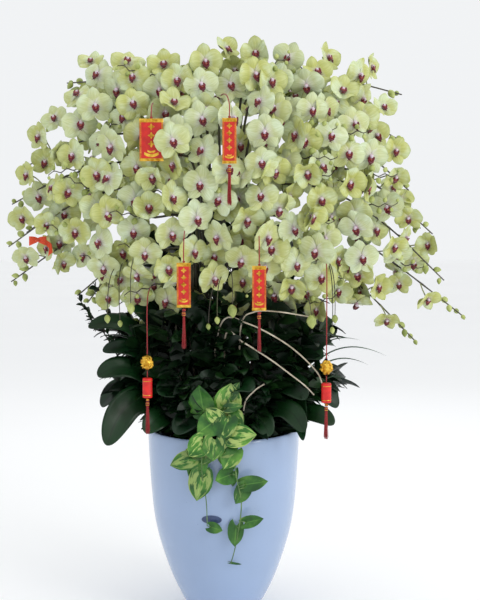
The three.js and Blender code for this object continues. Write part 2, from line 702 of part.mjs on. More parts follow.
function hangCard(name, { x, y, top }, { width, thickness, height }) {
  const z = top - height / 2;
  hang(name, box(width, thickness, height, x, y, z), RED,
    box(width, thickness, height, x, y, z, CLEARANCE));
  return { x, y, top: top - height - CLEARANCE };
}

function hangTassel(name, { x, y, top }, length) {
  hang(name, tassel(x, y, top, length), RED, tassel(x, y, top, length, CLEARANCE));
}

function hangNugget(name, { x, y, top }) {
  const nugget = (grow) => new THREE.IcosahedronGeometry(CHARM.nugget / 2 + grow, 1)
    .scale(0.82, 0.6, 1).translate(x, y, top - CHARM.nugget / 2);
  hang(name, nugget(0), GOLD, nugget(CLEARANCE));
  return { x, y, top: top - CHARM.nugget - CLEARANCE };
}

// The firecracker and the short string that holds it under the nugget are one body.
function hangFirecracker(name, { x, y, top }) {
  const { link, firecracker: height, firecrackerWidth } = CHARM;
  const firecracker = (grow) => {
    const radius = firecrackerWidth / 2 + grow;
    const body = new THREE.CylinderGeometry(radius, radius, height + 2 * grow, 12)
      .rotateX(Math.PI / 2).translate(x, y, top - link - height / 2);
    const string = new THREE.CylinderGeometry(CORD_DIAMETER / 2, CORD_DIAMETER / 2, link + 2, 6)
      .rotateX(Math.PI / 2).translate(x, y, top - link / 2 - 1);
    return toGeometry(toSolid(body).add(toSolid(string)));
  };
  hang(name, firecracker(0), RED, firecracker(CLEARANCE));
  return { x, y, top: top - link - height - CLEARANCE };
}

Object.entries(BANNERS).forEach(([name, points]) => {
  const end = hangCord(`${name}_cord`, points);
  hangTassel(`${name}_tassel`, hangCard(`${name}_card`, end, BANNER), BANNER.tassel);
});
hangCard('envelope_card', hangCord('envelope_cord', ENVELOPE_STRING), ENVELOPE);
Object.entries(CHARMS).forEach(([name, points]) => {
  const nuggetEnd = hangNugget(`${name}_nugget`, hangCord(`${name}_cord`, points));
  hangTassel(`${name}_tassel`, hangFirecracker(`${name}_firecracker`, nuggetEnd), CHARM.tassel);
});

// The ribbon is a flat two-looped bow with one falling tail.
const RIBBON = { x: -0.88 * HALF_WIDTH, y: -0.42 * CANOPY_FRONT, height: 470 };
function ribbonBow(grow = 0) {
  const { x, y, height } = RIBBON;
  const z = POT_HEIGHT + height;
  return joined([
    toSolid(box(46, 8, 24, x, y, z, grow)),
    toSolid(box(12, 10, 14, x + 6, y, z, grow)),
    toSolid(box(16, 3, 34, x + 30, y, z - 22, grow)),
  ]);
}
hang('ribbon_bow', toGeometry(ribbonBow()), RED, toGeometry(ribbonBow(CLEARANCE)));

// ---- assembly ---------------------------------------------------------------------------------
const group = new THREE.Group();

function place(name, geometry, material) {
  const mesh = new THREE.Mesh(geometry, material);
  mesh.name = name;
  group.add(mesh);
}

place('pot', pot, GLAZE);
place('growing_medium', medium, BARK);
ornaments.forEach(({ name, geometry, material }) => place(name, geometry, material));

const obstacles = ornaments.map(({ grown }) => toSolid(grown));
const fatStems = SPIKES.map((row, index) => spikeStem(index, CLEARANCE));
SPIKES.forEach((row, index) => {
  const others = fatStems.filter((stem, other) => other !== index);
  const plain = spikeFlowers(index);
  const flowers = trimmed(plain, [...obstacles, ...others]);
  const whole = mainPiece(spikeStem(index).add(flowers), true);
  place(`flower_spike_${String(index + 1).padStart(2, '0')}`, toGeometry(whole), FLOWER);
  obstacles.push(spikeFlowers(index, CLEARANCE).add(plain));
});
obstacles.push(...fatStems);

function placeTrimmed(name, solid, grown, material) {
  place(name, toGeometry(mainPiece(trimmed(solid, obstacles), true)), material);
  obstacles.push(grown);
}

obstacles.push(toSolid(pot));
Object.entries(CANES).forEach(([name, points]) =>
  placeTrimmed(name, cane(points), cane(points, CLEARANCE), CANE));
Object.entries(VINES).forEach(([name, row]) =>
  placeTrimmed(name, vine(row), vine(row, CLEARANCE), POTHOS_LEAF));
placeTrimmed('grass_tuft', grassTuft(), grassTuft(CLEARANCE), SHRUB_LEAF);
Object.entries(ROSETTES).forEach(([name, row]) =>
  placeTrimmed(name, rosette(row), rosette(row, CLEARANCE), ORCHID_LEAF));
Object.entries(SHRUBS).forEach(([name, row]) =>
  placeTrimmed(name, shrub(row), shrub(row, CLEARANCE), SHRUB_LEAF));

export default group;
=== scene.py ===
import math
import bpy
import numpy as np
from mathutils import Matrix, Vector


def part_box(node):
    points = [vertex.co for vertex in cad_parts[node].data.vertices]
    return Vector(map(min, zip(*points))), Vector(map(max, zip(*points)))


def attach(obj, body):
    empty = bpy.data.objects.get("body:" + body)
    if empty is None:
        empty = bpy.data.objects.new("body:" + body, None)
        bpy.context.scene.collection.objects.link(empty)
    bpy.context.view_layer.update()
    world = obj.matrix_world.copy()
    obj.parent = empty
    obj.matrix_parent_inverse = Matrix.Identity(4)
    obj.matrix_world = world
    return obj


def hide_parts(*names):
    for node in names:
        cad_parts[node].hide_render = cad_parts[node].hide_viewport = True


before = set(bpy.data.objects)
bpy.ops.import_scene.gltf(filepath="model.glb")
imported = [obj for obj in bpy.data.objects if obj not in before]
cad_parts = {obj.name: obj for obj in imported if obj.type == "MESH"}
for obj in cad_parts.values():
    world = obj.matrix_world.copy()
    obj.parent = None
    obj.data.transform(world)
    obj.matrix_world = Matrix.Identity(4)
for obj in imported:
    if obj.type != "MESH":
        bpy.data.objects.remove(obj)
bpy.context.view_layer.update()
MM = 0.001
GOLDEN_ANGLE = 2.4

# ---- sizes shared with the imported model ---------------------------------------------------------
pot_lo, pot_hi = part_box("pot")
POT_HEIGHT = pot_hi[2] / MM
RIM_RADIUS = (pot_hi[0] - pot_lo[0]) / 2 / MM
POT_WALL = 9
MEDIUM_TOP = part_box("growing_medium")[1][2] / MM
STEM_BASE_Z = MEDIUM_TOP + 0.4
HALF_WIDTH = 500
HALF_HEIGHT = 350
CANOPY_FRONT = 290
CANOPY_BACK = 220
CANOPY_MIDDLE_Z = POT_HEIGHT + 615
BLOOM_WIDTH = 80
BLOOM_REACH = 36
RANK_OFFSET = 30
LEAF_THICKNESS = 2.4
STRAND_DROP = 1.06
INNER_SHARE = 0.5
BACK_INNER_SHARE = 1.3


# ---- spikes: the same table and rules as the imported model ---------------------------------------
def file_base(hand, place):
    return (hand * (18 + 8 * place), -(10 + 13 * place))


# run start, middle and end as (x, z) per cent, side, blooms, buds, base, share of the depth
SPIKES = [
    ((-9, 54), (-40, 63), (-77, 69), -1, 7, 3, file_base(-1, 0), 1),
    ((-11, 39), (-46, 46), (-87, 37), -1, 8, 3, file_base(-1, 1), 1),
    ((-12, 21), (-48, 28), (-100, 9), -1, 9, 3, file_base(-1, 2), 1),
    ((-12, 4), (-50, 9), (-105, -16), -1, 9, 3, file_base(-1, 3), 1),
    ((-13, -14), (-52, -9), (-107, -46), -1, 9, 3, file_base(-1, 4), 1),
    ((-14, -33), (-52, -30), (-106, -71), -1, 9, 4, file_base(-1, 5), 1),
    ((-15, -53), (-40, -51), (-68, -86), -1, 6, 3, file_base(-1, 6), 1),
    ((-21, -71), (-32, -73), (-44, -106), -1, 4, 4, (-88, -108), 1),
    ((-1, 21), (-2, 54), (-5, 82), -1, 5, 0, (0, 12), 1),
    ((2, 7), (4, -37), (-4, -97), -1, 8, 4, (0, -70), 1),
    ((9, 54), (40, 67), (88, 61), -1, 8, 2, file_base(1, 0), 1),
    ((11, 39), (44, 46), (86, 26), -1, 8, 2, file_base(1, 1), 1),
    ((12, 21), (47, 28), (89, -7), -1, 8, 2, file_base(1, 2), 1),
    ((12, 4), (50, 9), (104, -37), -1, 9, 3, file_base(1, 3), 1),
    ((13, -14), (53, -11), (110, -70), -1, 10, 3, file_base(1, 4), 1),
    ((14, -33), (57, -36), (121, -97), -1, 10, 4, file_base(1, 5), 1),
    ((15, -53), (48, -54), (97, -115), -1, 8, 4, file_base(1, 6), 1),
    ((21, -71), (32, -72), (44, -101), -1, 4, 4, (88, -108), 1),
    ((-10, 54), (-42, 60), (-80, 40), 1, 8, 2, (-20, 45), 0.5),
    ((-11, 7), (-54, 6), (-98, -36), 1, 9, 2, (-38, 68), 1),
    ((-10, -44), (-40, -46), (-73, -81), 1, 7, 2, (-56, 92), 1),
    ((10, 54), (42, 60), (80, 40), 1, 8, 2, (20, 45), 0.5),
    ((11, 7), (54, 6), (98, -33), 1, 9, 2, (38, 68), 1),
    ((10, -44), (39, -46), (68, -76), 1, 7, 2, (56, 92), 1),
]


def unit(v):
    v = np.asarray(v, float)
    return v / np.maximum(np.linalg.norm(v, axis=-1, keepdims=True), 1e-9)


def dome_depth(side):
    return CANOPY_FRONT if side < 0 else CANOPY_BACK


def run_point(row, t):
    start, middle, end, side, _, _, _, depth = row
    weights = ((1 - t) * (1 - 2 * t), 4 * t * (1 - t), t * (2 * t - 1))
    across, up = (0.01 * (weights[0] * start[a] + weights[1] * middle[a] + weights[2] * end[a])
                  for a in (0, 1))
    inside = math.sqrt(max(1 - across ** 2 - up ** 2, 0.02))
    y = side * depth * (dome_depth(side) * inside - BLOOM_REACH)
    return np.array([across * HALF_WIDTH, y, CANOPY_MIDDLE_Z + up * HALF_HEIGHT])


def spline(points, u):
    """Uniform Catmull-Rom curve through the points, u from 0 to 1."""
    last = len(points) - 1
    x = min(max(u, 0), 1) * last
    i = min(int(x), last - 1)
    w = x - i
    p1, p2 = points[i], points[i + 1]
    p0 = points[i - 1] if i > 0 else 2 * p1 - p2
    p3 = points[i + 2] if i + 2 <= last else 2 * p2 - p1
    m1, m2 = 0.5 * (p2 - p0), 0.5 * (p3 - p1)
    return p1 + m1 * w + (-3 * p1 + 3 * p2 - 2 * m1 - m2) * w ** 2 + (2 * p1 - 2 * p2 + m1 + m2) * w ** 3


def bend(a, b, c, t):
    return a * (1 - t) ** 2 + 2 * b * t * (1 - t) + c * t ** 2


def stem_points(row):
    x, y = row[6]
    start = run_point(row, 0)
    points = [np.array([x, y, STEM_BASE_Z]),
              np.array([x * 1.3, y * 1.2, (STEM_BASE_Z + start[2]) / 2]), start]
    return points + [run_point(row, t) for t in (0.25, 0.5, 0.75, 1)]


def on_run(t):
    return (2 + 4 * t) / 6


def dome_normal(points):
    points = np.atleast_2d(points)
    depth = np.where(points[:, 1] < 0, CANOPY_FRONT, CANOPY_BACK)
    return unit(np.stack([points[:, 0] / HALF_WIDTH ** 2, points[:, 1] / depth ** 2,
                          (points[:, 2] - CANOPY_MIDDLE_Z) / HALF_HEIGHT ** 2], 1))


def bloom_facing(points, side):
    look = dome_normal(points) * 0.62
    look[:, 1] += 0.85 * side
    look[:, 2] -= 0.05
    return unit(look)


def lay_out_blooms(curves):
    home, index, rank, roots, side = [], [], [], [], []
    for i, row in enumerate(SPIKES):
        flowered = 0.9 if row[5] else 1
        for k in range(row[4]):
            u = on_run((k + 0.35) / row[4] * flowered)
            root = spline(curves[i], u)
            ahead = unit(spline(curves[i], u + 0.01) - root)
            out = dome_normal(root)[0]
            across = unit(np.cross(out, ahead))
            home.append(root + out * BLOOM_REACH + across * (RANK_OFFSET if k % 2 else -RANK_OFFSET))
            index.append(i)
            rank.append(k)
            roots.append(root)
            side.append(row[3])
    home, side = np.array(home), np.array(side, float)
    place = home.copy()
    spacing = 0.93 * BLOOM_WIDTH
    for _ in range(80):
        look = bloom_facing(place, side)
        apart = place[:, None] - place[None]
        near = np.linalg.norm(apart, axis=2) <= spacing
        both = unit(look[:, None] + look[None])
        apart = apart + both * 2.2 * (apart * both).sum(2, keepdims=True)
        gap = np.linalg.norm(apart, axis=2)
        np.fill_diagonal(gap, 1e9)
        push = np.where(near & (gap < spacing), (spacing - gap) * 0.25, 0) / np.maximum(gap, 1e-9)
        place = place + (apart * push[..., None]).sum(1) + (home - place) * 0.03
    return place, bloom_facing(place, side), np.array(index), np.array(rank), np.array(roots)


CURVES = [stem_points(row) for row in SPIKES]
PLACES, LOOKS, INDEX, RANK, ROOTS = lay_out_blooms(CURVES)


# ---- mesh building ------------------------------------------------------------------------------
def around(count):
    """Evenly spaced angles of one full turn, for a ring that closes on itself."""
    return np.linspace(0, 2 * np.pi, count, endpoint=False)


class Batch:
    """Collects grids of vertices with named values per vertex, and makes one object of them."""

    def __init__(self):
        self.points, self.faces, self.slots, self.values, self.count = [], [], [], {}, 0

    def grid(self, points, slot=0, close_v=False, cap=False, **values):
        """points has shape (rows, columns, 3)."""
        rows, cols = points.shape[:2]
        self.points.append(points.reshape(-1, 3))
        base = self.count
        last_v = cols if close_v else cols - 1
        for r in range(rows - 1):
            low, high = base + r * cols, base + (r + 1) * cols
            for c in range(last_v):
                c2 = (c + 1) % cols
                self.faces.append((low + c, low + c2, high + c2, high + c))
                self.slots.append(slot)
        if cap:
            self.faces.append(tuple(base + c for c in range(cols))[::-1])
            self.faces.append(tuple(base + (rows - 1) * cols + c for c in range(cols)))
            self.slots += [slot, slot]
        for name in set(self.values) | set(values):
            self.values.setdefault(name, [np.zeros(self.count)])
            value = np.broadcast_to(np.asarray(values.get(name, 0.0), float), (rows, cols))
            self.values[name].append(value.reshape(-1).copy())
        self.count += rows * cols

    def make(self, name, materials, smooth=True, node=None, slot=None):
        mesh = bpy.data.meshes.new(name)
        points = np.concatenate(self.points) * MM
        mesh.from_pydata(points.tolist(), [], self.faces)
        mesh.update()
        for value_name, chunks in self.values.items():
            layer = mesh.attributes.new(value_name, "FLOAT", "POINT")
            layer.data.foreach_set("value", np.concatenate(chunks).astype(np.float32))
        for material in materials:
            mesh.materials.append(material)
        mesh.polygons.foreach_set("material_index", self.slots)
        mesh.polygons.foreach_set("use_smooth", [smooth] * len(self.faces))
        obj = bpy.data.objects.new(name, mesh)
        bpy.context.collection.objects.link(obj)
        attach(obj, "root")
        if node:
            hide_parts(node)
        return obj


def ring_frames(path):
    """Two cross directions along a path, without twist."""
    path = np.asarray(path, float)
    tangent = unit(np.gradient(path, axis=0))
    side = unit(np.cross(tangent[0], [0.31, 0.42, 0.85]))
    sides = [side]
    for t in tangent[1:]:
        side = unit(sides[-1] - t * np.dot(sides[-1], t))
        sides.append(side)
    sides = np.array(sides)
    return sides, np.cross(tangent, sides)


def tube(batch, path, radii, sides=8, slot=0, **values):
    path = np.asarray(path, float)
    radii = np.broadcast_to(np.asarray(radii, float), (len(path),))
    a, b = ring_frames(path)
    angle = around(sides)
    points = (path[:, None] + radii[:, None, None]
              * (a[:, None] * np.cos(angle)[None, :, None] + b[:, None] * np.sin(angle)[None, :, None]))
    if "along" not in values:
        values["along"] = np.linspace(0, 1, len(path))[:, None]
    batch.grid(points, slot, close_v=True, cap=True, **values)


def ovoid(batch, centre, axis, length, radius, slot=0, rows=9, sides=10, sharp=1.0, **values):
    axis = unit(axis)
    t = np.linspace(0, 1, rows)
    path = centre + axis * (t - 0.5)[:, None] * length
    radii = radius * np.sin(np.pi * np.clip(t, 0.015, 0.985) ** sharp) ** 0.72
    tube(batch, path, radii, sides, slot, **values)


def blade_frame(curve, roll):
    """Sideways and upward directions along a midrib, turned about it by the roll."""
    tangent = unit(np.gradient(curve, axis=0))
    wide = unit(np.cross(tangent, np.array([0, 0, 1.0])))
    normal = unit(np.cross(wide, tangent))
    c, s = math.cos(roll), math.sin(roll)
    return wide * c + normal * s, normal * c - wide * s


def blade_points(midrib, wide, normal, across, lift):
    """A blade's points: the midrib moved sideways and upward by each row's offsets."""
    return midrib[:, None] + wide[:, None] * across[..., None] + normal[:, None] * lift[..., None]


def thick_leaf(batch, curve, half, thickness, roll, fold, cols=7, wave=0.0, phase=0.0, **values):
    """A leaf with an upper and a lower face, folded along its midrib."""
    wide, normal = blade_frame(curve, roll)
    v = np.linspace(-1, 1, cols)
    t = np.linspace(0, 1, len(curve))[:, None]
    lift = fold * np.abs(v)[None] ** 1.5 * half[:, None]
    lift = lift + wave * np.sin(t * 9 + phase) * v[None] ** 2 * half[:, None]
    mid = blade_points(curve, wide, normal, v[None] * half[:, None], lift)
    rounded = thickness / 2 * np.sqrt(np.clip(1 - v ** 2, 0.04, 1))
    thick = rounded[None] * np.clip(half / half.max() * 2, 0.2, 1)[:, None]
    top = mid + normal[:, None] * thick[..., None]
    low = mid - normal[:, None] * thick[..., None]
    ring = np.concatenate([top, low[:, ::-1]], 1)
    edge = np.abs(np.concatenate([v, v[::-1]]))[None]
    batch.grid(ring, 0, close_v=True, cap=True, along=t, edge=edge, **values)


# ---- materials ----------------------------------------------------------------------------------
def srgb(r, g, b):
    def one(c):
        c = c / 255
        return c / 12.92 if c <= 0.04045 else ((c + 0.055) / 1.055) ** 2.4
    return (one(r), one(g), one(b), 1.0)


class Nodes:
    """A short way to write a Principled material's node graph."""

    def __init__(self, name, roughness=0.5, metallic=0.0, **sockets):
        self.material = bpy.data.materials.new(name)
        self.material.use_nodes = True
        self.tree = self.material.node_tree
        self.shader = self.tree.nodes["Principled BSDF"]
        self.shader.inputs["Roughness"].default_value = roughness
        self.shader.inputs["Metallic"].default_value = metallic
        for key, value in sockets.items():
            self.shader.inputs[key.replace("_", " ")].default_value = value

    def node(self, kind, **settings):
        node = self.tree.nodes.new(kind)
        for key, value in settings.items():
            setattr(node, key, value)
        return node

    def link(self, a, b):
        self.tree.links.new(a, b)

    def value(self, name):
        return self.node("ShaderNodeAttribute", attribute_name=name).outputs["Fac"]

    def coords(self, scale):
        mapping = self.node("ShaderNodeMapping")
        mapping.inputs["Scale"].default_value = scale
        self.link(self.node("ShaderNodeTexCoord").outputs["Object"], mapping.inputs["Vector"])
        return mapping.outputs["Vector"]

    def noise(self, scale, detail=3.0, roughness=0.5, stretch=(1, 1, 1)):
        noise = self.node("ShaderNodeTexNoise")
        noise.inputs["Scale"].default_value = scale
        noise.inputs["Detail"].default_value = detail
        noise.inputs["Roughness"].default_value = roughness
        self.link(self.coords(stretch), noise.inputs["Vector"])
        return noise.outputs["Fac"]

    def ramp(self, fac, *stops):
        ramp = self.node("ShaderNodeValToRGB")
        while len(ramp.color_ramp.elements) < len(stops):
            ramp.color_ramp.elements.new(0.5)
        for element, (at, colour) in zip(ramp.color_ramp.elements, stops):
            element.position = at
            element.color = colour if len(colour) == 4 else (*colour, 1)
        self.link(fac, ramp.inputs["Fac"])
        return ramp.outputs["Color"]

    def grey(self, fac, low_at, low, high_at, high):
        return self.ramp(fac, (low_at, (low, low, low, 1)), (high_at, (high, high, high, 1)))

    def mix(self, fac, a, b, blend="MIX"):
        mix = self.node("ShaderNodeMix", data_type="RGBA", blend_type=blend)
        for value, socket in ((fac, mix.inputs[0]), (a, mix.inputs[6]), (b, mix.inputs[7])):
            if hasattr(value, "links"):
                self.link(value, socket)
            else:
                socket.default_value = value
        return mix.outputs[2]

    def math(self, operation, a, b=0.0):
        node = self.node("ShaderNodeMath", operation=operation)
        for value, socket in ((a, node.inputs[0]), (b, node.inputs[1])):
            if hasattr(value, "links"):
                self.link(value, socket)
            else:
                socket.default_value = value
        return node.outputs[0]

    def colour(self, socket):
        self.link(socket, self.shader.inputs["Base Color"])

    def bump(self, height, strength, distance):
        bump = self.node("ShaderNodeBump")
        bump.inputs["Strength"].default_value = strength
        bump.inputs["Distance"].default_value = distance
        self.link(height, bump.inputs["Height"])
        self.link(bump.outputs["Normal"], self.shader.inputs["Normal"])

    def rough(self, socket):
        self.link(socket, self.shader.inputs["Roughness"])


def petal_material():
    m = Nodes("petal", roughness=0.5, Subsurface_Weight=0.12, Subsurface_Scale=0.003)
    m.shader.inputs["Subsurface Radius"].default_value = (1.0, 0.9, 0.4)
    m.shader.inputs["Specular IOR Level"].default_value = 0.3
    along, tint = m.value("along"), m.value("tint")
    yellow = m.ramp(along, (0.0, srgb(200, 172, 180)), (0.13, srgb(202, 202, 174)),
                    (0.4, srgb(186, 189, 108)), (0.8, srgb(198, 203, 140)), (1.0, srgb(174, 182, 100)))
    pale = m.ramp(along, (0.0, srgb(214, 196, 208)), (0.16, srgb(214, 217, 202)),
                  (0.45, srgb(200, 207, 162)), (1.0, srgb(208, 218, 184)))
    base = m.mix(m.grey(tint, 0.1, 0.0, 0.9, 1.0), yellow, pale)
    # pale mint patches from noise in object space: painted highlights, set at random places rather than
    # where light falls
    base = m.mix(m.grey(m.noise(24.0, 2.0), 0.5, 0.0, 0.66, 0.6), base, srgb(216, 230, 206))
    lines = m.node("ShaderNodeTexNoise")
    lines.inputs["Scale"].default_value = 1.0
    lines.inputs["Detail"].default_value = 2.0
    combine = m.node("ShaderNodeCombineXYZ")
    m.link(m.math("MULTIPLY", m.value("across"), 11.0), combine.inputs["X"])
    m.link(m.math("MULTIPLY", along, 2.2), combine.inputs["Y"])
    m.link(m.math("MULTIPLY", tint, 40.0), combine.inputs["Z"])
    m.link(combine.outputs["Vector"], lines.inputs["Vector"])
    streak = m.ramp(lines.outputs["Fac"], (0.38, srgb(200, 210, 150)), (0.62, (1, 1, 1, 1)))
    m.colour(m.mix(0.35, base, streak, "MULTIPLY"))
    m.bump(lines.outputs["Fac"], 0.35, 0.0012)
    return m.material


def lip_material():
    m = Nodes("lip", roughness=0.42)
    base = m.ramp(m.value("along"), (0.0, srgb(160, 84, 72)), (0.2, srgb(156, 70, 72)),
                  (0.42, srgb(112, 22, 40)), (0.8, srgb(82, 12, 30)), (1.0, srgb(116, 38, 54)))
    spots = m.ramp(m.noise(420.0, 2.0), (0.45, srgb(255, 255, 255)), (0.6, srgb(150, 60, 70)))
    m.colour(m.mix(0.45, base, spots, "MULTIPLY"))
    m.bump(m.noise(900.0, 2.0), 0.2, 0.0006)
    return m.material


def column_material():
    m = Nodes("column", roughness=0.4, Subsurface_Weight=0.1, Subsurface_Scale=0.002)
    m.colour(m.ramp(m.value("along"), (0.0, srgb(180, 112, 140)), (0.45, srgb(196, 164, 186)),
                    (1.0, srgb(208, 192, 204))))
    m.bump(m.noise(800.0, 2.0), 0.1, 0.0004)
    return m.material


def stem_material(name, dark, mid, light, shine):
    m = Nodes(name, roughness=shine)
    patches = m.noise(38.0, 4.0, 0.6)
    m.colour(m.ramp(patches, (0.3, dark), (0.52, mid), (0.72, light)))
    m.bump(m.noise(420.0, 3.0, stretch=(1, 1, 0.3)), 0.25, 0.0006)
    return m.material


def leaf_material(name, dark, mid, pale, shine):
    m = Nodes(name, roughness=shine)
    m.shader.inputs["Specular IOR Level"].default_value = 0.32
    patches = m.noise(16.0, 3.0)
    body = m.ramp(patches, (0.3, dark), (0.6, mid), (0.85, pale))
    rib = m.ramp(m.value("edge"), (0.0, srgb(70, 104, 66)), (0.09, (1, 1, 1, 1)))
    body = m.mix(m.value("fresh"), body, srgb(48, 92, 34))
    m.colour(m.mix(0.5, body, m.mix(1.0, body, rib, "MULTIPLY")))
    lines = m.node("ShaderNodeTexWave", wave_type="BANDS", bands_direction="X")
    combine = m.node("ShaderNodeCombineXYZ")
    m.link(m.value("edge"), combine.inputs["X"])
    m.link(combine.outputs["Vector"], lines.inputs["Vector"])
    lines.inputs["Scale"].default_value = 3.0
    lines.inputs["Distortion"].default_value = 0.6
    m.bump(lines.outputs["Fac"], 0.18, 0.0008)
    m.rough(m.grey(m.noise(30.0, 3.0), 0.3, shine - 0.06, 0.7, shine + 0.12))
    return m.material


def pothos_material():
    m = Nodes("pothos_leaf", roughness=0.34)
    m.shader.inputs["Specular IOR Level"].default_value = 0.4
    green = m.ramp(m.noise(30.0, 3.0), (0.32, srgb(26, 76, 20)), (0.5, srgb(54, 114, 32)),
                   (0.68, srgb(104, 160, 58)))
    combine = m.node("ShaderNodeCombineXYZ")
    m.link(m.math("MULTIPLY", m.value("across"), 1.7), combine.inputs["X"])
    m.link(m.math("MULTIPLY", m.value("along"), 1.0), combine.inputs["Y"])
    m.link(m.math("MULTIPLY", m.value("cream"), 60.0), combine.inputs["Z"])
    streaks = m.node("ShaderNodeTexNoise")
    streaks.inputs["Scale"].default_value = 2.2
    streaks.inputs["Detail"].default_value = 4.0
    m.link(combine.outputs["Vector"], streaks.inputs["Vector"])
    marks = m.math("ADD", streaks.outputs["Fac"], m.math("MULTIPLY", m.value("cream"), 0.14))
    body = m.mix(m.grey(marks, 0.62, 0.0, 0.68, 0.85), green, srgb(176, 198, 112))
    body = m.mix(m.value("deep"), body, srgb(30, 70, 34))
    rib = m.ramp(m.value("edge"), (0.0, srgb(130, 176, 80)), (0.08, (0, 0, 0, 1)))
    m.colour(m.mix(0.3, body, rib, "ADD"))
    m.bump(m.noise(70.0, 2.0), 0.3, 0.002)
    return m.material


def glaze_material():
    m = Nodes("white_glaze_painted_blue_shade", roughness=0.2, Coat_Weight=0.3, Coat_Roughness=0.08)
    tone = m.noise(3.2, 3.0)
    dust = m.noise(260.0, 2.0)
    # the blue-grey is painted shade: a white glaze darkened and blued all over as if in bluish shade, with
    # tone that varies at random
    base = m.ramp(tone, (0.3, srgb(147, 167, 199)), (0.7, srgb(155, 177, 212)))
    specks = m.ramp(dust, (0.22, srgb(170, 178, 190)), (0.27, (1, 1, 1, 1)))
    m.colour(m.mix(0.5, base, specks, "MULTIPLY"))
    m.rough(m.grey(m.noise(9.0, 3.0), 0.3, 0.17, 0.7, 0.27))
    m.bump(m.noise(22.0, 2.0), 0.04, 0.001)
    return m.material


def bark_material():
    m = Nodes("bark_chips", roughness=0.95)
    m.colour(m.ramp(m.noise(55.0, 5.0), (0.3, srgb(30, 20, 12)), (0.55, srgb(74, 50, 32)),
                    (0.8, srgb(122, 94, 66))))
    m.bump(m.noise(160.0, 5.0), 0.8, 0.002)
    return m.material


def thread_material(name, dark, light):
    m = Nodes(name, roughness=0.75)
    m.shader.inputs["Sheen Weight"].default_value = 0.3
    wave = m.node("ShaderNodeTexWave", wave_type="BANDS", bands_direction="DIAGONAL")
    m.link(m.coords((1, 1, 1)), wave.inputs["Vector"])
    wave.inputs["Scale"].default_value = 260.0
    wave.inputs["Distortion"].default_value = 1.2
    m.colour(m.ramp(wave.outputs["Fac"], (0.2, dark), (0.8, light)))
    m.bump(wave.outputs["Fac"], 0.4, 0.0005)
    return m.material


def paper_material(name, dark, light, shine=0.45):
    m = Nodes(name, roughness=shine)
    m.colour(m.ramp(m.noise(90.0, 4.0), (0.3, dark), (0.7, light)))
    m.bump(m.noise(420.0, 3.0), 0.15, 0.0004)
    return m.material


def gold_material():
    m = Nodes("gilt", roughness=0.3, metallic=0.9)
    m.colour(m.ramp(m.noise(120.0, 3.0), (0.3, srgb(176, 118, 18)), (0.7, srgb(248, 205, 84))))
    m.bump(m.noise(260.0, 3.0), 0.2, 0.0006)
    return m.material


PETAL = petal_material()
LIP = lip_material()
COLUMN = column_material()
STEM = stem_material("flower_stem", srgb(36, 30, 30), srgb(64, 60, 44), srgb(92, 96, 60), 0.5)
STALK = stem_material("bloom_stalk", srgb(96, 92, 66), srgb(140, 146, 92), srgb(176, 184, 124), 0.5)
BUD = stem_material("bud_skin", srgb(122, 136, 66), srgb(164, 176, 98), srgb(196, 204, 132), 0.45)
ORCHID_LEAF = leaf_material("orchid_leaf", srgb(4, 24, 10), srgb(10, 46, 20), srgb(26, 76, 34), 0.34)
SHRUB_LEAF = leaf_material("shrub_leaf", srgb(2, 13, 5), srgb(5, 29, 11), srgb(16, 56, 22), 0.36)
GRASS = leaf_material("grass_blade", srgb(40, 62, 48), srgb(80, 106, 84), srgb(132, 150, 124), 0.5)
WOOD = stem_material("shrub_twig", srgb(30, 24, 20), srgb(56, 44, 36), srgb(84, 70, 56), 0.8)
POTHOS = pothos_material()
VINE = stem_material("pothos_stem", srgb(52, 84, 44), srgb(78, 112, 58), srgb(118, 150, 84), 0.45)
CANE = stem_material("dry_cane", srgb(150, 138, 118), srgb(190, 180, 160), srgb(222, 214, 198), 0.7)
GLAZE = glaze_material()
BARK = bark_material()
PLAQUE = paper_material("plaque_metal", srgb(48, 62, 96), srgb(70, 86, 122), 0.35)
THREAD = thread_material("red_thread", srgb(104, 8, 14), srgb(178, 24, 30))
CARD = paper_material("red_card", srgb(176, 20, 14), srgb(214, 34, 22), 0.4)
RED_PAPER = paper_material("red_paper", srgb(190, 18, 16), srgb(228, 34, 28), 0.5)
GILT = gold_material()
RIBBON = thread_material("ribbon_cloth", srgb(196, 52, 20), srgb(232, 84, 36))

# ---- camera and light ---------------------------------------------------------------------------
CAMERA_X = 0.041
camera = bpy.data.objects.new("camera", bpy.data.cameras.new("camera"))
bpy.context.collection.objects.link(camera)
camera.data.lens = 62.4
camera.location = (CAMERA_X, -2.6, 0.955)
aim = Vector((CAMERA_X, 0, 0.78))
camera.rotation_euler = (aim - camera.location).to_track_quat("-Z", "Y").to_euler()
bpy.context.scene.camera = camera


def area_light(name, place, target, size, power, colour):
    light = bpy.data.lights.new(name, "AREA")
    light.shape = "RECTANGLE"
    light.size, light.size_y = size
    light.energy = power
    light.color = colour
    lamp = bpy.data.objects.new(name, light)
    lamp.location = place
    lamp.rotation_euler = (Vector(target) - Vector(place)).to_track_quat("-Z", "Y").to_euler()
    bpy.context.collection.objects.link(lamp)


area_light("key", (2.7, -2.3, 2.2), (0, 0, 0.8), (1.4, 1.4), 43, (1.0, 0.985, 0.95))
area_light("fill", (-2.6, -2.2, 1.8), (0, 0, 0.9), (2.0, 2.4), 3, (0.93, 0.96, 1.0))
area_light("top", (0, 0.3, 3.4), (0, 0, 1.0), (1.6, 1.6), 11, (1.0, 1.0, 0.98))
area_light("back", (0.6, 3.0, 2.2), (0, 0, 0.9), (2.4, 2.0), 8, (0.95, 0.97, 1.0))
world = bpy.data.worlds.new("studio")
world.use_nodes = True
world.node_tree.nodes["Background"].inputs["Color"].default_value = (0.90, 0.915, 0.93, 1)
world.node_tree.nodes["Background"].inputs["Strength"].default_value = 0.98
bpy.context.scene.world = world
bpy.context.scene.view_settings.view_transform = "Standard"

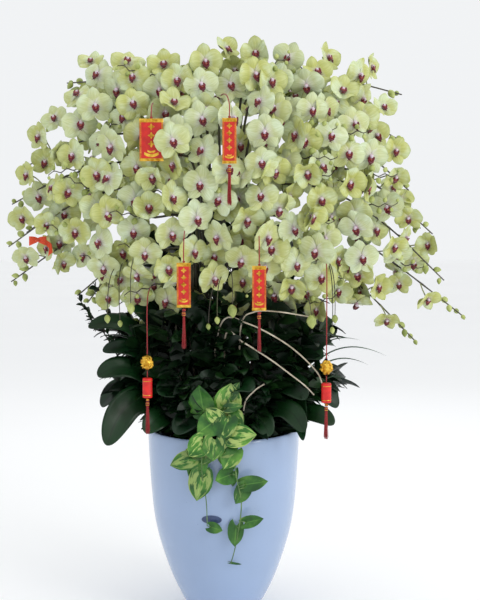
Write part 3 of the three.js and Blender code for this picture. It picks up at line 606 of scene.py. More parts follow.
floor_mesh = bpy.data.meshes.new("floor")
floor_mesh.from_pydata([(-30, -30, 0), (30, -30, 0), (30, 30, 0), (-30, 30, 0)], [], [(0, 1, 2, 3)])
floor = bpy.data.objects.new("floor", floor_mesh)
bpy.context.collection.objects.link(floor)
floor_look = Nodes("studio_floor", roughness=0.6)
floor_look.colour(floor_look.ramp(floor_look.noise(0.6, 2.0), (0.3, (0.96, 0.96, 0.96, 1)),
                                  (0.7, (0.98, 0.98, 0.98, 1))))
floor_mesh.materials.append(floor_look.material)


# ---- hanging charms: strings first --------------------------------------------------------------
CORD_DIAMETER = 2.5
GAP = 0.4
BANNERS = {
    "banner_1": [(-7, -221, 792), (2, -255, 797), (12, -296, 789), (18, -324, 766), (18, -330, 737)],
    "banner_2": [(-82, -239, 497), (-82, -275, 497), (-82, -310, 480), (-82, -330, 446), (-82, -330, 424)],
    "banner_3": [(83, -239, 497), (83, -275, 497), (83, -308, 479), (83, -326, 442), (83, -326, 417)],
}
ENVELOPE = [(-150, -215, 771), (-151, -255, 777), (-152, -295, 769), (-152, -318, 748), (-152, -318, 737)]
CHARMS = {
    "charm_left": [(-160, -144, 359), (-166, -180, 363), (-170, -218, 347), (-171, -236, 310),
                   (-171, -236, 260), (-171, -236, 212)],
    "charm_right": [(240, -170, 425), (239, -205, 429), (238, -238, 409), (238, -246, 365),
                    (238, -246, 285), (238, -246, 202)],
}


def over_rim(point):
    return np.array([point[0], point[1], POT_HEIGHT + point[2]], float)


def hang_string(name, route):
    points = [over_rim(p) for p in route]
    path = np.array([spline(points, u) for u in np.linspace(0, 1, 36)]) * MM
    data = bpy.data.curves.new(name + "_string", "CURVE")
    data.dimensions = "3D"
    line = data.splines.new("POLY")
    line.points.add(len(path) - 1)
    for point, at in zip(line.points, path):
        point.co = (*at, 1)
    data.bevel_depth = CORD_DIAMETER / 2 * MM
    data.bevel_resolution = 3
    data.use_fill_caps = True
    data.materials.append(THREAD)
    string = bpy.data.objects.new(name + "_string", data)
    bpy.context.collection.objects.link(string)
    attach(string, "root")
    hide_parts(name + "_cord")


def plate(batch, centre, width, depth, height, slot=0, bevel=0.5):
    """A slab with a bevelled rim, facing -Y."""
    x, y, z = centre
    w, d, h = width / 2, depth / 2, height / 2
    rings = []
    for y_at, inset in ((-d, bevel), (-d + bevel * 0.5, 0), (d - bevel * 0.5, 0), (d, bevel)):
        a, b = w - inset, h - inset
        ring = [(-a, -b), (0, -b), (a, -b), (a, 0), (a, b), (0, b), (-a, b), (-a, 0)]
        rings.append([(x + px, y + y_at, z + pz) for px, pz in ring])
    batch.grid(np.array(rings, float), slot, close_v=True, cap=True, along=0.5)


def motif(batch, x, y, z, size, slot):
    """A raised diamond rosette: a plain geometric ornament."""
    angle = around(16)
    star = 0.72 + 0.28 * np.cos(4 * angle)
    steps = ((1.0, 0.0), (0.9, -0.7), (0.55, -0.7), (0.5, -0.2), (0.22, -0.2), (0.18, -0.9), (0.02, -0.9))
    rings = []
    for grow, out in steps:
        rings.append(np.stack([x + size * grow * star * np.cos(angle), np.full(16, y + out),
                               z + size * grow * star * np.sin(angle)], 1))
    batch.grid(np.array(rings), slot, close_v=True, along=0.5)


def bowl_motif(batch, x, y, z, size, slot):
    """A raised boat-shaped ornament of lens sections."""
    t = np.linspace(-1, 1, 13)
    for lift, share in ((0, 1.0), (size * 0.42, 0.55)):
        top = z + lift + size * 0.28 * t ** 2 * share + size * 0.1
        low = z + lift - size * 0.34 * (1 - t ** 2) * share
        front = np.stack([x + t * size * share, np.full(13, y - 0.8), (top + low) / 2], 1)
        upper = np.stack([x + t * size * share, np.full(13, y), top], 1)
        lower = np.stack([x + t * size * share, np.full(13, y), low], 1)
        batch.grid(np.array([upper, front, lower]), slot, along=0.5)


def knot(batch, centre, radius, slot=0):
    """A round knot: two crossing wraps of cord."""
    a = np.linspace(0, 2 * np.pi, 40)
    wrap = np.stack([np.cos(a) * (1 + 0.28 * np.cos(3 * a)), np.sin(a) * 0.7,
                     np.sin(a * 2) * 0.62], 1) * radius * 0.72 + centre
    tube(batch, wrap, radius * 0.36, 7, slot)
    other = np.stack([np.sin(a) * 0.6, np.cos(a) * 0.7, np.cos(a * 2) * 0.7], 1)
    tube(batch, other * radius * 0.74 + centre, radius * 0.34, 7, slot)


def tassel(name, x, y, top, length, seed):
    """A knot, a bound neck and a skirt of loose threads."""
    random = np.random.default_rng(seed)
    batch = Batch()
    knot(batch, np.array([x, y, top - 5]), 3.6)
    t = np.linspace(0, 1, 8)
    neck = np.array([x, y, top - 9]) + np.outer(t, [0, 0, -9])
    tube(batch, neck, 3.4 + 0.5 * np.sin(t * 9) ** 2, 10)
    for k in range(4):
        a = np.linspace(0, 2 * np.pi, 18)
        band = np.stack([x + 3.9 * np.cos(a), y + 3.9 * np.sin(a), np.full(18, top - 11.5 - 1.6 * k)], 1)
        tube(batch, band, 0.7, 5, 1 if k in (0, 3) else 0)
    for k in range(64):
        angle = random.uniform(0, 2 * np.pi)
        out = math.sqrt(random.uniform(0, 1))
        reach = length * random.uniform(0.9, 0.985)
        s = np.linspace(0, 1, 7)
        spread = 2.6 + 2.1 * s + random.normal(0, 0.25)
        sway = random.normal(0, 0.5, 2)
        path = np.stack([x + out * spread * np.cos(angle + 0.4 * s) + sway[0] * s ** 2,
                         y + out * spread * np.sin(angle + 0.4 * s) + sway[1] * s ** 2,
                         top - 15 - (reach - 15) * s], 1)
        tube(batch, path, 0.42, 4)
    batch.make(name, [THREAD, GILT], node=name, slot="red_string")


def red_card(name, route, width, height, thickness, seed, with_tassel):
    """A card with gilt frames, rosettes and ends, hung by an eyelet and a knot on its string."""
    end = over_rim(route[-1])
    x, y, top = end[0], end[1], end[2] - GAP
    centre = (x, y, top - height / 2)
    body = Batch()
    plate(body, centre, width - 0.4, thickness, height - 0.4)
    front = y - thickness / 2
    for inset, bar in ((1.6, 0.9), (3.6, 0.45)):
        w, h = width / 2 - inset, height / 2 - inset
        bars = ((0, h, 2 * w, bar), (0, -h, 2 * w, bar), (w, 0, bar, 2 * h), (-w, 0, bar, 2 * h))
        for dx, dz, long, high in bars:
            for face in (front - 0.25, front + thickness + 0.25):
                plate(body, (x + dx, face, centre[2] + dz), long, 0.5, high, 1, 0.12)
    count = 4 if height > 95 else 3
    step = (height - 36) / count
    for k in range(count):
        motif(body, x, front, centre[2] + height / 2 - 13 - step * (k + 0.25), step * 0.42, 1)
    bowl_motif(body, x, front, centre[2] - height / 2 + 14, width * 0.3, 1)
    body.make(name + "_face", [CARD, GILT], smooth=False, node=name + "_card", slot="red_card")
    cap = Batch()
    plate(cap, (x, y, top - 4), width, thickness + 1.4, 8, 1, 0.5)
    plate(cap, (x, y, top - height + 3), width, thickness + 1.4, 6, 1, 0.5)
    for k in range(-2, 3):
        motif(cap, x + k * width * 0.18, y - thickness / 2 - 0.8, top - 4, width * 0.07, 1)
    eye = np.linspace(0, 2 * np.pi, 20)
    cap_top = Batch()
    ring = np.stack([x + 2.6 * np.cos(eye), np.full(20, y), top - 0.6 + 2.6 * np.sin(eye)], 1)
    tube(cap_top, ring, 0.6, 6)
    knot(cap_top, np.array([x, y, top + 2.2]), 2.8, 1)
    cap.make(name + "_end_caps", [CARD, GILT], smooth=False, slot="gold")
    eyelet = cap_top.make(name + "_eyelet", [GILT, THREAD], slot="gold")
    hang_string(name, route)
    if with_tassel:
        tassel(name + "_tassel", x, y, top - height - GAP, 92, seed)


for banner_number, (banner, banner_route) in enumerate(BANNERS.items(), 1):
    red_card(banner, banner_route, 31, 98, 1.6, banner_number, True)
red_card("envelope", ENVELOPE, 52, 92, 2, 4, False)


NUGGET_HEIGHT = 38
LINK_LENGTH = 16
ROLL_LENGTH = 46
BEAD_HALF = 4


def charm(name, route, seed):
    """A string with a gilt nugget, a red roll, a bead and a tassel."""
    random = np.random.default_rng(seed)
    end = over_rim(route[-1])
    x, y, top = end[0], end[1], end[2] - GAP
    # the nugget: a lumpy casting of overlapping scrolls
    middle = top - NUGGET_HEIGHT / 2
    nugget = Batch()
    rows, cols = 26, 34
    u = np.linspace(0.02, np.pi - 0.02, rows)[:, None]
    v = around(cols)[None]
    lumps = 1 - 0.13 + 0.13 * np.sin(5 * v + 3 * np.sin(3 * u + seed)) * np.sin(4 * u + seed)
    lumps = lumps - 0.07 * np.abs(np.sin(7 * u + 2 * v))
    r = NUGGET_HEIGHT / 2 * lumps
    body = np.stack([x + 0.84 * r * np.sin(u) * np.cos(v), y + 0.6 * r * np.sin(u) * np.sin(v),
                     middle + 0.98 * r * np.cos(u) * np.ones_like(v)], 2)
    nugget.grid(body, 0, close_v=True, cap=True, along=0.5)
    for _ in range(26):
        a, b = random.uniform(0, 2 * np.pi), random.uniform(-0.8, 0.8)
        s = math.sqrt(1 - b * b)
        at = np.array([x + 13.4 * s * math.cos(a), y + 9.3 * s * math.sin(a), middle + 15.2 * b])
        ovoid(nugget, at, random.normal(0, 1, 3), random.uniform(6, 8), random.uniform(2.2, 3.2), 0, 6, 7)
    gold = nugget.make(name + "_gilt_nugget", [GILT], node=name + "_nugget", slot="gold")
    hang_string(name, route)
    # the firecracker: a wrapped roll with gold bands and a twisted string above it
    roll = Batch()
    top_roll = top - NUGGET_HEIGHT - GAP
    link = np.array([[x, y, top_roll - z] for z in np.linspace(0, LINK_LENGTH + 1, 6)])
    tube(roll, link, 1.1, 7, 0)
    z = [0, 0.4, 1.4, 2.2, 6, 6.3, 7.2, 7.5, 23, 38.5, 38.8, 39.7, 40, 43.8, 44.6, 45.6, 46]
    radius = [4.0, 9.6, 10.9, 11.2, 11.2, 11.4, 11.4, 11.2, 11.15,
              11.2, 11.4, 11.4, 11.2, 11.2, 10.9, 9.6, 4.0]
    angle = around(36)
    wrap = np.array([[(x + q * math.cos(a) * (1 + 0.004 * math.sin(9 * a)), y + q * math.sin(a),
                       top_roll - LINK_LENGTH - h) for a in angle] for h, q in zip(z, radius)])
    roll.grid(wrap[:6], 1, close_v=True, along=0.2)
    roll.grid(wrap[5:8], 2, close_v=True, along=0.2)
    roll.grid(wrap[7:10], 1, close_v=True, along=0.5)
    roll.grid(wrap[9:12], 2, close_v=True, along=0.8)
    roll.grid(wrap[11:], 1, close_v=True, along=0.8)
    for q in (0, -1):
        ring = wrap[q]
        centre = np.broadcast_to(ring.mean(0), ring.shape)
        roll.grid(np.array([ring, centre]), 2, close_v=True, along=0.5)
    roll.make(name + "_roll", [THREAD, RED_PAPER, GILT], node=name + "_firecracker", slot="red_paper")
    bead_top = top_roll - LINK_LENGTH - ROLL_LENGTH - GAP
    bead = Batch()
    ovoid(bead, np.array([x, y, bead_top - BEAD_HALF]), [0, 0, 1], 6.4, 3.6, 0, 9, 12)
    bead.make(name + "_bead", [GILT], slot="gold")
    tassel(name + "_tassel", x, y, bead_top, 85, seed + 9)


for charm_seed, (charm_name, charm_route) in enumerate(CHARMS.items(), 5):
    charm(charm_name, charm_route, charm_seed)


def ribbon():
    """A strip of cloth folded into two loops with a falling tail."""
    x, y, z = -0.88 * HALF_WIDTH, -0.42 * CANOPY_FRONT, POT_HEIGHT + 470
    t = np.linspace(0, 1, 61)
    a = t * 2 * np.pi
    loop_x = x + 21 * np.sin(a)
    loop_y = y + 3.2 * np.sin(2 * a)
    loop_z = z + 1.5 * np.cos(a * 2)
    tail = np.linspace(0, 1, 26)[1:]
    tail_x = x + 30 * np.minimum(1, tail * 1.6) ** 0.8
    tail_y = y - 1.5 + 1.2 * np.sin(tail * 5)
    tail_z = z + 1.5 - 34 * tail ** 1.7
    path = np.concatenate([np.stack([loop_x, loop_y, loop_z], 1), np.stack([tail_x, tail_y, tail_z], 1)])
    pinch = np.concatenate([4.5 + 6.8 * np.abs(np.sin(a)) ** 0.7, 4.5 + 2.8 * tail])
    lean = np.concatenate([np.zeros(61), 0.85 * tail])
    v = np.linspace(-1, 1, 9)
    up = np.stack([np.sin(lean), np.zeros_like(lean), np.cos(lean)], 1)
    crease = 0.8 * np.cos(v * 7)[None] * (1 - 0.6 * pinch[:, None] / 11)
    points = path[:, None] + up[:, None] * (v[None] * pinch[:, None])[..., None]
    points[..., 1] += crease
    batch = Batch()
    batch.grid(points, 0, along=np.linspace(0, 1, len(path))[:, None])
    cloth = batch.make("ribbon_cloth", [RIBBON], node="ribbon_bow", slot="ribbon")
    wrap = Batch()
    a = np.linspace(0, 2 * np.pi, 30)
    tube(wrap, np.stack([x + 3.6 * np.cos(a), y + 4.4 * np.sin(a), np.full(30, z)], 1), 2.6, 8)
    wrap.make("ribbon_knot", [RIBBON], slot="ribbon")


ribbon()


# ---- blooms -------------------------------------------------------------------------------------
# each tepal: angle, length, width, widest share, set-back and rise, in half bloom widths
TEPALS = [
    (90, 1.0, 0.8, 0.5, -0.03, 0.0),
    (230, 0.96, 0.74, 0.5, -0.035, 0.0),
    (310, 0.96, 0.74, 0.5, -0.035, 0.0),
    (13, 1.0, 1.16, 0.54, 0.03, 0.05),
    (167, 1.0, 1.16, 0.54, 0.03, 0.05),
]


def tepal(length, width, widest, droop, cup, wave, phase):
    """A petal or sepal in its own plane: rows run from base to tip, and z is towards the front."""
    s = (1 - np.cos(np.linspace(0, np.pi, 11))) / 2 * 0.97 + 0.03
    s = np.clip(s, 0.03, 0.995)
    power = math.log(0.5) / math.log(widest)
    half = width / 2 * np.sin(np.pi * s ** power) ** 0.55
    v = np.linspace(-1, 1, 7)
    x = s[:, None] * length * (1 - 0.03 * v[None] ** 2)
    y = v[None] * half[:, None]
    z = droop * s[:, None] ** 2 * length + cup * (y / width * 2) ** 2 * width
    z = z + wave * length * np.sin(s[:, None] * 6 + v[None] * 2.2 + phase) * s[:, None]
    return np.stack([x, y, z], 2), s, v


def turned(points, angle, lift):
    """Tepal points lifted towards the front and turned about the flower's axis."""
    a = math.radians(angle)
    out = points[..., 0] * math.cos(lift) - points[..., 2] * math.sin(lift)
    front = points[..., 0] * math.sin(lift) + points[..., 2] * math.cos(lift)
    x = out * math.cos(a) - points[..., 1] * math.sin(a)
    y = out * math.sin(a) + points[..., 1] * math.cos(a)
    return np.stack([x, y, front], -1)


def add_lip(lips, put, callus_axis, half, tint):
    """A pointed middle lobe that hangs forward, two side lobes, two curled tips and a callus."""
    t = np.linspace(0, 1, 9)
    v = np.linspace(-1, 1, 7)
    wide = 0.17 * np.sin(np.pi * np.clip(t, 0.08, 0.96) ** 0.8) ** 0.6
    x = v[None] * wide[:, None]
    y = -0.07 - 0.31 * t[:, None] ** 0.9 + 0.05 * np.abs(v)[None]
    z = 0.10 + 0.23 * np.sin(t[:, None] * 2.3) - 0.06 * v[None] ** 2
    lips.grid(put(np.stack([x, y, z], 2)), 0, along=(0.25 + 0.75 * t)[:, None], tint=tint)
    t = np.linspace(0, 1, 6)
    v = np.linspace(-1, 1, 6)
    wide = 0.15 * np.sin(np.pi * np.clip(t, 0.12, 0.94)) ** 0.5
    for hand in (-1, 1):
        x = hand * (0.05 + 0.15 * t[:, None] - 0.03 * v[None] ** 2)
        y = -0.10 + 0.05 * t[:, None] + v[None] * wide[:, None]
        z = 0.07 + 0.21 * np.sin(t[:, None] * 2.4) + 0.03 * v[None]
        shade = (0.02 + 0.5 * t)[:, None] + 0.12 * np.abs(v)[None]
        lips.grid(put(np.stack([x, y, z], 2)), 0, along=shade, tint=tint)
    for hand in (-1, 1):
        curl = np.stack([hand * (0.02 + 0.08 * t), -0.35 - 0.05 * t, 0.25 + 0.1 * t - 0.1 * t ** 2], 1)
        tube(lips, put(curl), 0.02 * half * (1 - 0.6 * t), 5, 0, along=0.9, tint=tint)
    callus = put(np.array([0, -0.1, 0.22]))
    ovoid(lips, callus, callus_axis, 0.16 * half, 0.08 * half, 0, 6, 8, along=0.02, tint=tint)


def add_column(lips, put, half, tint):
    t = np.linspace(0, 1, 7)
    core = np.stack([0 * t, 0.02 + 0.06 * t, 0.02 + 0.25 * t], 1)
    thick = half * (0.075 + 0.035 * np.sin(np.pi * t ** 1.4)) * np.where(t > 0.95, 0.5, 1)
    tube(lips, put(core), thick, 9, 1, along=t[:, None], tint=tint)


def bloom(petals, lips, place, look, size, openness, random):
    """A flower: three sepals, two broad petals, a lip and a column."""
    tint = random.uniform(0, 1) * (1 if openness > 0.8 else 0.3)
    roll = random.normal(0, 0.2)
    right = unit(np.cross([0, 0, 1.0], look))
    up = np.cross(look, right)
    c, s = math.cos(roll), math.sin(roll)
    right, up = right * c + up * s, up * c - right * s
    basis = np.stack([right, up, look])
    half = size / 2
    fold = 1 - openness

    def put(points):
        return points @ basis * half + place

    for angle, length, width, widest, set_back, rise in TEPALS:
        points, share, v = tepal(length * random.uniform(0.94, 1.0), width * random.uniform(0.92, 1.0),
                                 widest, random.uniform(-0.18, -0.03), random.uniform(-0.26, -0.08),
                                 random.uniform(0.008, 0.028), random.uniform(0, 6))
        points[..., 2] += set_back
        lift = rise + fold * 1.15 + random.normal(0, 0.07)
        points = turned(points, angle + random.normal(0, 4), lift)
        petals.grid(put(points), 0, along=share[:, None], across=v[None], tint=tint)
    add_lip(lips, put, -up * 0.3 + look, half, tint)
    add_column(lips, put, half, tint)


def young_spray(stem, buds, root, look, hand, random):
    """A thin zigzag side shoot with small round buds."""
    ahead = unit(np.array([hand * 0.9, 0, random.uniform(-0.2, 0.5)]))
    side = unit(np.cross(look, ahead))
    place = root + look * 14
    points = [root, place]
    for k in range(6):
        turn = 1 if k % 2 else -1
        place = place + ahead * 14 + side * (6 * turn) + look * (6 if k < 3 else 1)
        points.append(place)
        if k > 0:
            size = 9.2 - 1.0 * k
            spot = place + side * (size + 3) * turn + look * 2
            tube(stem, place + np.linspace(0, 1, 4)[:, None] * (spot - place), 0.7, 5, 0)
            ovoid(buds, spot, side * turn + ahead * 0.4, size * 2.1, size * 0.9, 0, 8, 9, 0.9, edge=0.35)
    path = np.array([spline(points, u) for u in np.linspace(0, 1, 26)])
    tube(stem, path, np.linspace(1.9, 1.0, 26), 6, 0)


# ---- where the extra flowers and hanging buds go ------------------------------------------------
# flowers behind the front rank that close the gaps between its blooms
FILL_COUNT = 24
GAP_REACH = 0.53 * BLOOM_WIDTH
GAP_STEP = 10
FILL_SINK = 42
# flowers of an inner shell between the front and back ranks, seen from the sides and from above
SHELL_COUNT = 34
SHELL_HALF_WIDTH = 390
SHELL_HALF_DEPTH = 125
SHELL_HEIGHT = 335
SHELL_SINK = 70
# heavy buds that hang under the canopy: place and radius
HANGING_BUDS = [(-205, -262, 778, 10), (24, -284, 774, 12), (204, -238, 746, 12.5), (-10, -270, 752, 7),
                (258, -232, 752, 8), (252, -232, 726, 6.5), (-262, -232, 752, 8), (-232, -240, 742, 6.5),
                (-30, -272, 738, 6)]
# flowers that lean out past a hanging card: share along the run, then the place
LEANING_FLOWERS = {"flower_spike_02": [(0.3, -104, -334, 1147)]}


def gap_places():
    """Places that blooms surround but none covers, seen from the front, the widest gaps first."""
    front = PLACES[LOOKS[:, 1] < 0][:, [0, 2]]
    x, z = np.meshgrid(np.arange(-HALF_WIDTH, HALF_WIDTH, GAP_STEP),
                       np.arange(-HALF_HEIGHT, HALF_HEIGHT, GAP_STEP))
    spots = np.stack([x.ravel(), z.ravel() + CANOPY_MIDDLE_Z], 1)
    apart = np.linalg.norm(spots[:, None] - front[None], axis=2)
    around = front[np.argsort(apart, axis=1)[:, :6]].mean(1)
    surrounded = np.linalg.norm(around - spots, axis=1) < 0.4 * BLOOM_WIDTH
    widest = apart.min(1)
    found = []
    for k in np.argsort(-widest, kind="stable"):
        clear = all(np.linalg.norm(spots[k] - spot) > 0.8 * BLOOM_WIDTH for spot in found)
        if surrounded[k] and widest[k] > GAP_REACH and clear and len(found) < FILL_COUNT:
            found.append(spots[k])
    return [np.array([x, -depth_at(x, z), z]) for x, z in found]


def depth_at(x, z):
    """How far the sunken fill flowers stand out in front, under the dome."""
    inside = 1 - (x / HALF_WIDTH) ** 2 - ((z - CANOPY_MIDDLE_Z) / HALF_HEIGHT) ** 2
    return max(CANOPY_FRONT * math.sqrt(max(inside, 0.02)) - FILL_SINK, 30)


def shell_place(k):
    """A place on the upper half of the inner shell."""
    angle = GOLDEN_ANGLE * k
    rise = (k + 0.5) / SHELL_COUNT
    flat = math.sqrt(1 - rise ** 2)
    return np.array([SHELL_HALF_WIDTH * flat * math.cos(angle),
                     10 + SHELL_HALF_DEPTH * flat * math.sin(angle),
                     CANOPY_MIDDLE_Z - SHELL_SINK + SHELL_HEIGHT * rise])


def nearest_spike(place, front_only=True):
    """The spike that passes closest to a place, and the share along its stem."""
    best = (1e9, 0, 0.5)
    for i, curve in enumerate(CURVES):
        if SPIKES[i][3] < 0 or not front_only:
            for x in np.linspace(0.35, 0.98, 50):
                gap = np.linalg.norm(spline(curve, x) - place)
                if gap < best[0]:
                    best = (gap, i, x)
    return best[1], best[2]


FILLS = [(place, *nearest_spike(place)) for place in gap_places()]
SHELL = [(shell_place(k), *nearest_spike(shell_place(k), False)) for k in range(SHELL_COUNT)]
PENDANTS = [(np.array(place, float), size, *nearest_spike(np.array(place, float) + [0, 0, 40]))
            for *place, size in HANGING_BUDS]


# ---- flower spikes ------------------------------------------------------------------------------
class Spike:
    """One flower spike while it grows: its route, its meshes and its random numbers."""

    def __init__(self, number):
        start, _, _, self.side, self.bloom_count, self.bud_count, _, _ = SPIKES[number]
        self.start_x = start[0]
        self.number = number
        self.name = f"flower_spike_{number + 1:02d}"
        self.random = np.random.default_rng(100 + number)
        self.petals, self.lips, self.stem, self.buds = Batch(), Batch(), Batch(), Batch()

    def at(self, share):
        return spline(CURVES[self.number], share)

    def flower(self, place, look, root, size, openness):
        """One flower and its stalk."""
        bloom(self.petals, self.lips, place, look, size, openness, self.random)
        t = np.linspace(0, 1, 10)[:, None]
        back = place - look * 2
        stalk = bend(root, back - look * 16 + (root - back) * 0.2, back, t)
        tube(self.stem, stalk, 1.5 + 0.5 * (t[:, 0] - 0.3) ** 2, 7, 1)

    def add_stem(self):
        """The stem, thicker where a flower stalk or a node sits on it."""
        u = np.linspace(0, 1, 90)
        path = np.array([self.at(x) for x in u])
        radius = 3.3 - 1.7 * u ** 1.2
        for root in ROOTS[INDEX == self.number]:
            radius[np.argmin(np.linalg.norm(path - root, axis=1))] += 0.7
        for share in (0.1, 0.2, 0.3):
            radius[int(share * 89)] += 0.5
        tube(self.stem, path, radius, 9, 0)

    def add_main_flowers(self):
        """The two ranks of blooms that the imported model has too, less open towards the tip."""
        random = self.random
        for k in np.flatnonzero(INDEX == self.number):
            outer = RANK[k] / max(self.bloom_count - 1, 1) > 0.86
            openness = (random.uniform(0.5, 0.85) if outer
                        else random.choice([1.0, 1.0, 1.0, 0.94, 0.86, 0.66, 0.42]))
            size = BLOOM_WIDTH * random.uniform(1.02, 1.14) * (0.86 if outer else 1)
            sway = random.normal(0, 0.25, 3)
            if random.uniform() < 0.2:
                sway = sway + random.choice([-1, 1]) * random.uniform(0.5, 1.1) * np.array([1.0, 0, -0.2])
            nod = unit(LOOKS[k] + sway - np.array([0, 0, 0.08]))
            self.flower(PLACES[k], nod, ROOTS[k], size, openness)

    def add_young_sprays(self):
        random = self.random
        for first in ((0.12, 0.5) if self.side < 0 else ()):
            root = self.at(on_run(random.uniform(first, first + 0.25)))
            look = bloom_facing(root, -1)[0]
            young_spray(self.stem, self.buds, root, look, random.choice([-1, 1]), random)

    def add_inner_flowers(self):
        """Smaller flowers along the run that open behind the main ranks."""
        random = self.random
        count = int(self.bloom_count * (INNER_SHARE if self.side < 0 else BACK_INNER_SHARE))
        for k in range(count):
            root = self.at(on_run((k + 0.8) / count * 0.82))
            turn = unit(random.normal(0, 1, 3) * np.array([1, 0.4, 0.7]))
            look = unit(bloom_facing(root, self.side)[0] * 0.75 + turn * 0.75)
            place = root + dome_normal(root)[0] * random.uniform(-12, 4) + turn * 20
            self.flower(place, look, root, BLOOM_WIDTH * random.uniform(0.86, 1.0),
                        random.choice([0.7, 0.85, 1.0]))

    def add_low_flowers(self):
        """Flowers on the upright stretch of a back spike."""
        random = self.random
        for k in range(4 if self.side > 0 else 0):
            root = self.at(0.19 + 0.036 * k)
            turn = unit(np.array([math.copysign(0.6, self.start_x) + random.normal(0, 0.6),
                                  0.9, random.normal(0, 0.25)]))
            place = root + turn * random.uniform(26, 44)
            self.flower(place, unit(turn - np.array([0, 0, 0.1])), root,
                        BLOOM_WIDTH * random.uniform(0.95, 1.1), random.choice([0.85, 1.0]))

    def add_leaning_flowers(self):
        for share, *place in LEANING_FLOWERS.get(self.name, []):
            look = unit(np.array([0.12, -1.0, -0.1]))
            self.flower(np.array(place, float), look, self.at(on_run(share)), BLOOM_WIDTH * 1.1, 1.0)

    def add_buds(self):
        """Buds on alternate sides of the run's end, smaller to the tip."""
        for k in range(self.bud_count):
            x = on_run(0.91 + 0.09 * (k + 0.6) / self.bud_count)
            root = self.at(x)
            ahead = unit(self.at(min(x, 0.99) + 0.01) - self.at(min(x, 0.99)))
            across = unit(np.cross(dome_normal(root)[0], ahead))
            size = 10.5 - 5 * k / self.bud_count
            hand = 1 if k % 2 else -1
            place = root + across * hand * (size * 0.85 + 2) + np.array([0, 0, -2.5])
            sway = self.random.normal(0, 0.15, 3)
            axis = unit(ahead * 0.5 + across * hand * 0.8 + sway - np.array([0, 0, 0.5]))
            ovoid(self.buds, place, axis, size * 2.3, size * 0.8, 0, 11, 12, 0.8, edge=0.0)
            t = np.linspace(0, 1, 5)[:, None]
            tube(self.stem, root * (1 - t) + (place - axis * size * 0.6) * t, 1.1, 6, 1)

    def add_fills(self):
        random = self.random
        for place, near, x in FILLS:
            if near == self.number:
                look = unit(np.array([random.normal(0, 0.35) + place[0] / 900,
                                      -1.0, random.normal(-0.1, 0.2)]))
                self.flower(place, look, self.at(x), BLOOM_WIDTH * random.uniform(0.98, 1.08),
                            random.choice([1.0, 0.9, 0.5]))

    def add_shell(self):
        random = self.random
        for place, near, x in SHELL:
            if near == self.number:
                out = (place - np.array([0, 0, CANOPY_MIDDLE_Z - 40])) * np.array([1.0, 1.6, 0.7])
                look = unit(out + random.normal(0, 60, 3))
                self.flower(place, look, self.at(x), BLOOM_WIDTH * random.uniform(0.95, 1.08),
                            random.choice([1.0, 0.9, 0.6]))

    def add_pendants(self):
        """Heavy buds that hang from the run on arched stalks."""
        for place, size, near, x in PENDANTS:
            if near == self.number:
                root = self.at(x)
                top = place + np.array([0, 0, size * 1.1])
                t = np.linspace(0, 1, 16)[:, None]
                rise = 14 + 0.45 * np.linalg.norm(root - top)
                over = root * 0.3 + top * 0.7 + np.array([math.copysign(8, place[0]), -8, rise])
                tube(self.stem, bend(root, over, top, t), 1.15 - 0.25 * t[:, 0], 6, 0)
                down = np.array([0.1, -0.1, -1.0])
                ovoid(self.buds, place, down, size * 2.5, size * 0.88, 0, 12, 14, 0.85, edge=0.5)

    def grow(self):
        """Builds every part, always in this order, as they share one row of random numbers."""
        for part in (self.add_stem, self.add_main_flowers, self.add_young_sprays, self.add_inner_flowers,
                     self.add_low_flowers, self.add_leaning_flowers, self.add_buds, self.add_fills,
                     self.add_shell, self.add_pendants):
            part()
        self.petals.make(self.name + "_petals", [PETAL], node=self.name, slot="flower")
        self.lips.make(self.name + "_lips", [LIP, COLUMN], slot="flower")
        self.stem.make(self.name + "_stem", [STEM, STALK], slot="flower")
        if self.buds.count:
            self.buds.make(self.name + "_buds", [BUD], slot="flower")


for spike_number in range(len(SPIKES)):
    Spike(spike_number).grow()

# ---- pot and medium -----------------------------------------------------------------------------
POT_SIDE = [(0, 0.43), (0.035, 0.5), (0.1, 0.59), (0.2, 0.7), (0.33, 0.81), (0.46, 0.895), (0.6, 0.945),
            (0.79, 0.98), (0.975, 1)]


def pot_radius(z):
    heights = [h * POT_HEIGHT for h, _ in POT_SIDE]
    return float(np.interp(z, heights, [r * RIM_RADIUS for _, r in POT_SIDE]))


def pot():
    """The planter's profile, from the foot up the outside, over the lip and down inside, turned round."""
    side = [np.array([r * RIM_RADIUS, h * POT_HEIGHT]) for h, r in POT_SIDE]
    outer = np.array([spline(side, u) for u in np.linspace(0, 1, 64)])
    outer[:, 0] = np.minimum(outer[:, 0], RIM_RADIUS)
    lip_centre = np.array([RIM_RADIUS - POT_WALL / 2, outer[-1, 1]])
    a = np.linspace(0, np.pi, 12)[1:]
    lip = lip_centre + np.stack([np.cos(a) * POT_WALL / 2, np.sin(a) * (POT_HEIGHT - lip_centre[1])], 1)
    inner_z = np.linspace(lip_centre[1], MEDIUM_TOP - 30, 12)[1:]
    inner = np.array([[pot_radius(z) - POT_WALL, z] for z in inner_z])
    foot = np.array([[0.5, 1.2], [60, 1.2], [outer[0, 0] - 6, 1.0], [outer[0, 0] - 3, 0.0]])
    profile = np.concatenate([foot, outer[1:], lip, inner])
    angle = around(112)
    points = np.array([[(r * math.cos(x), r * math.sin(x), z) for x in angle] for r, z in profile])
    batch = Batch()
    batch.grid(points, 0, close_v=True, along=0.5)
    batch.make("glazed_pot", [GLAZE], node="pot", slot="glaze")


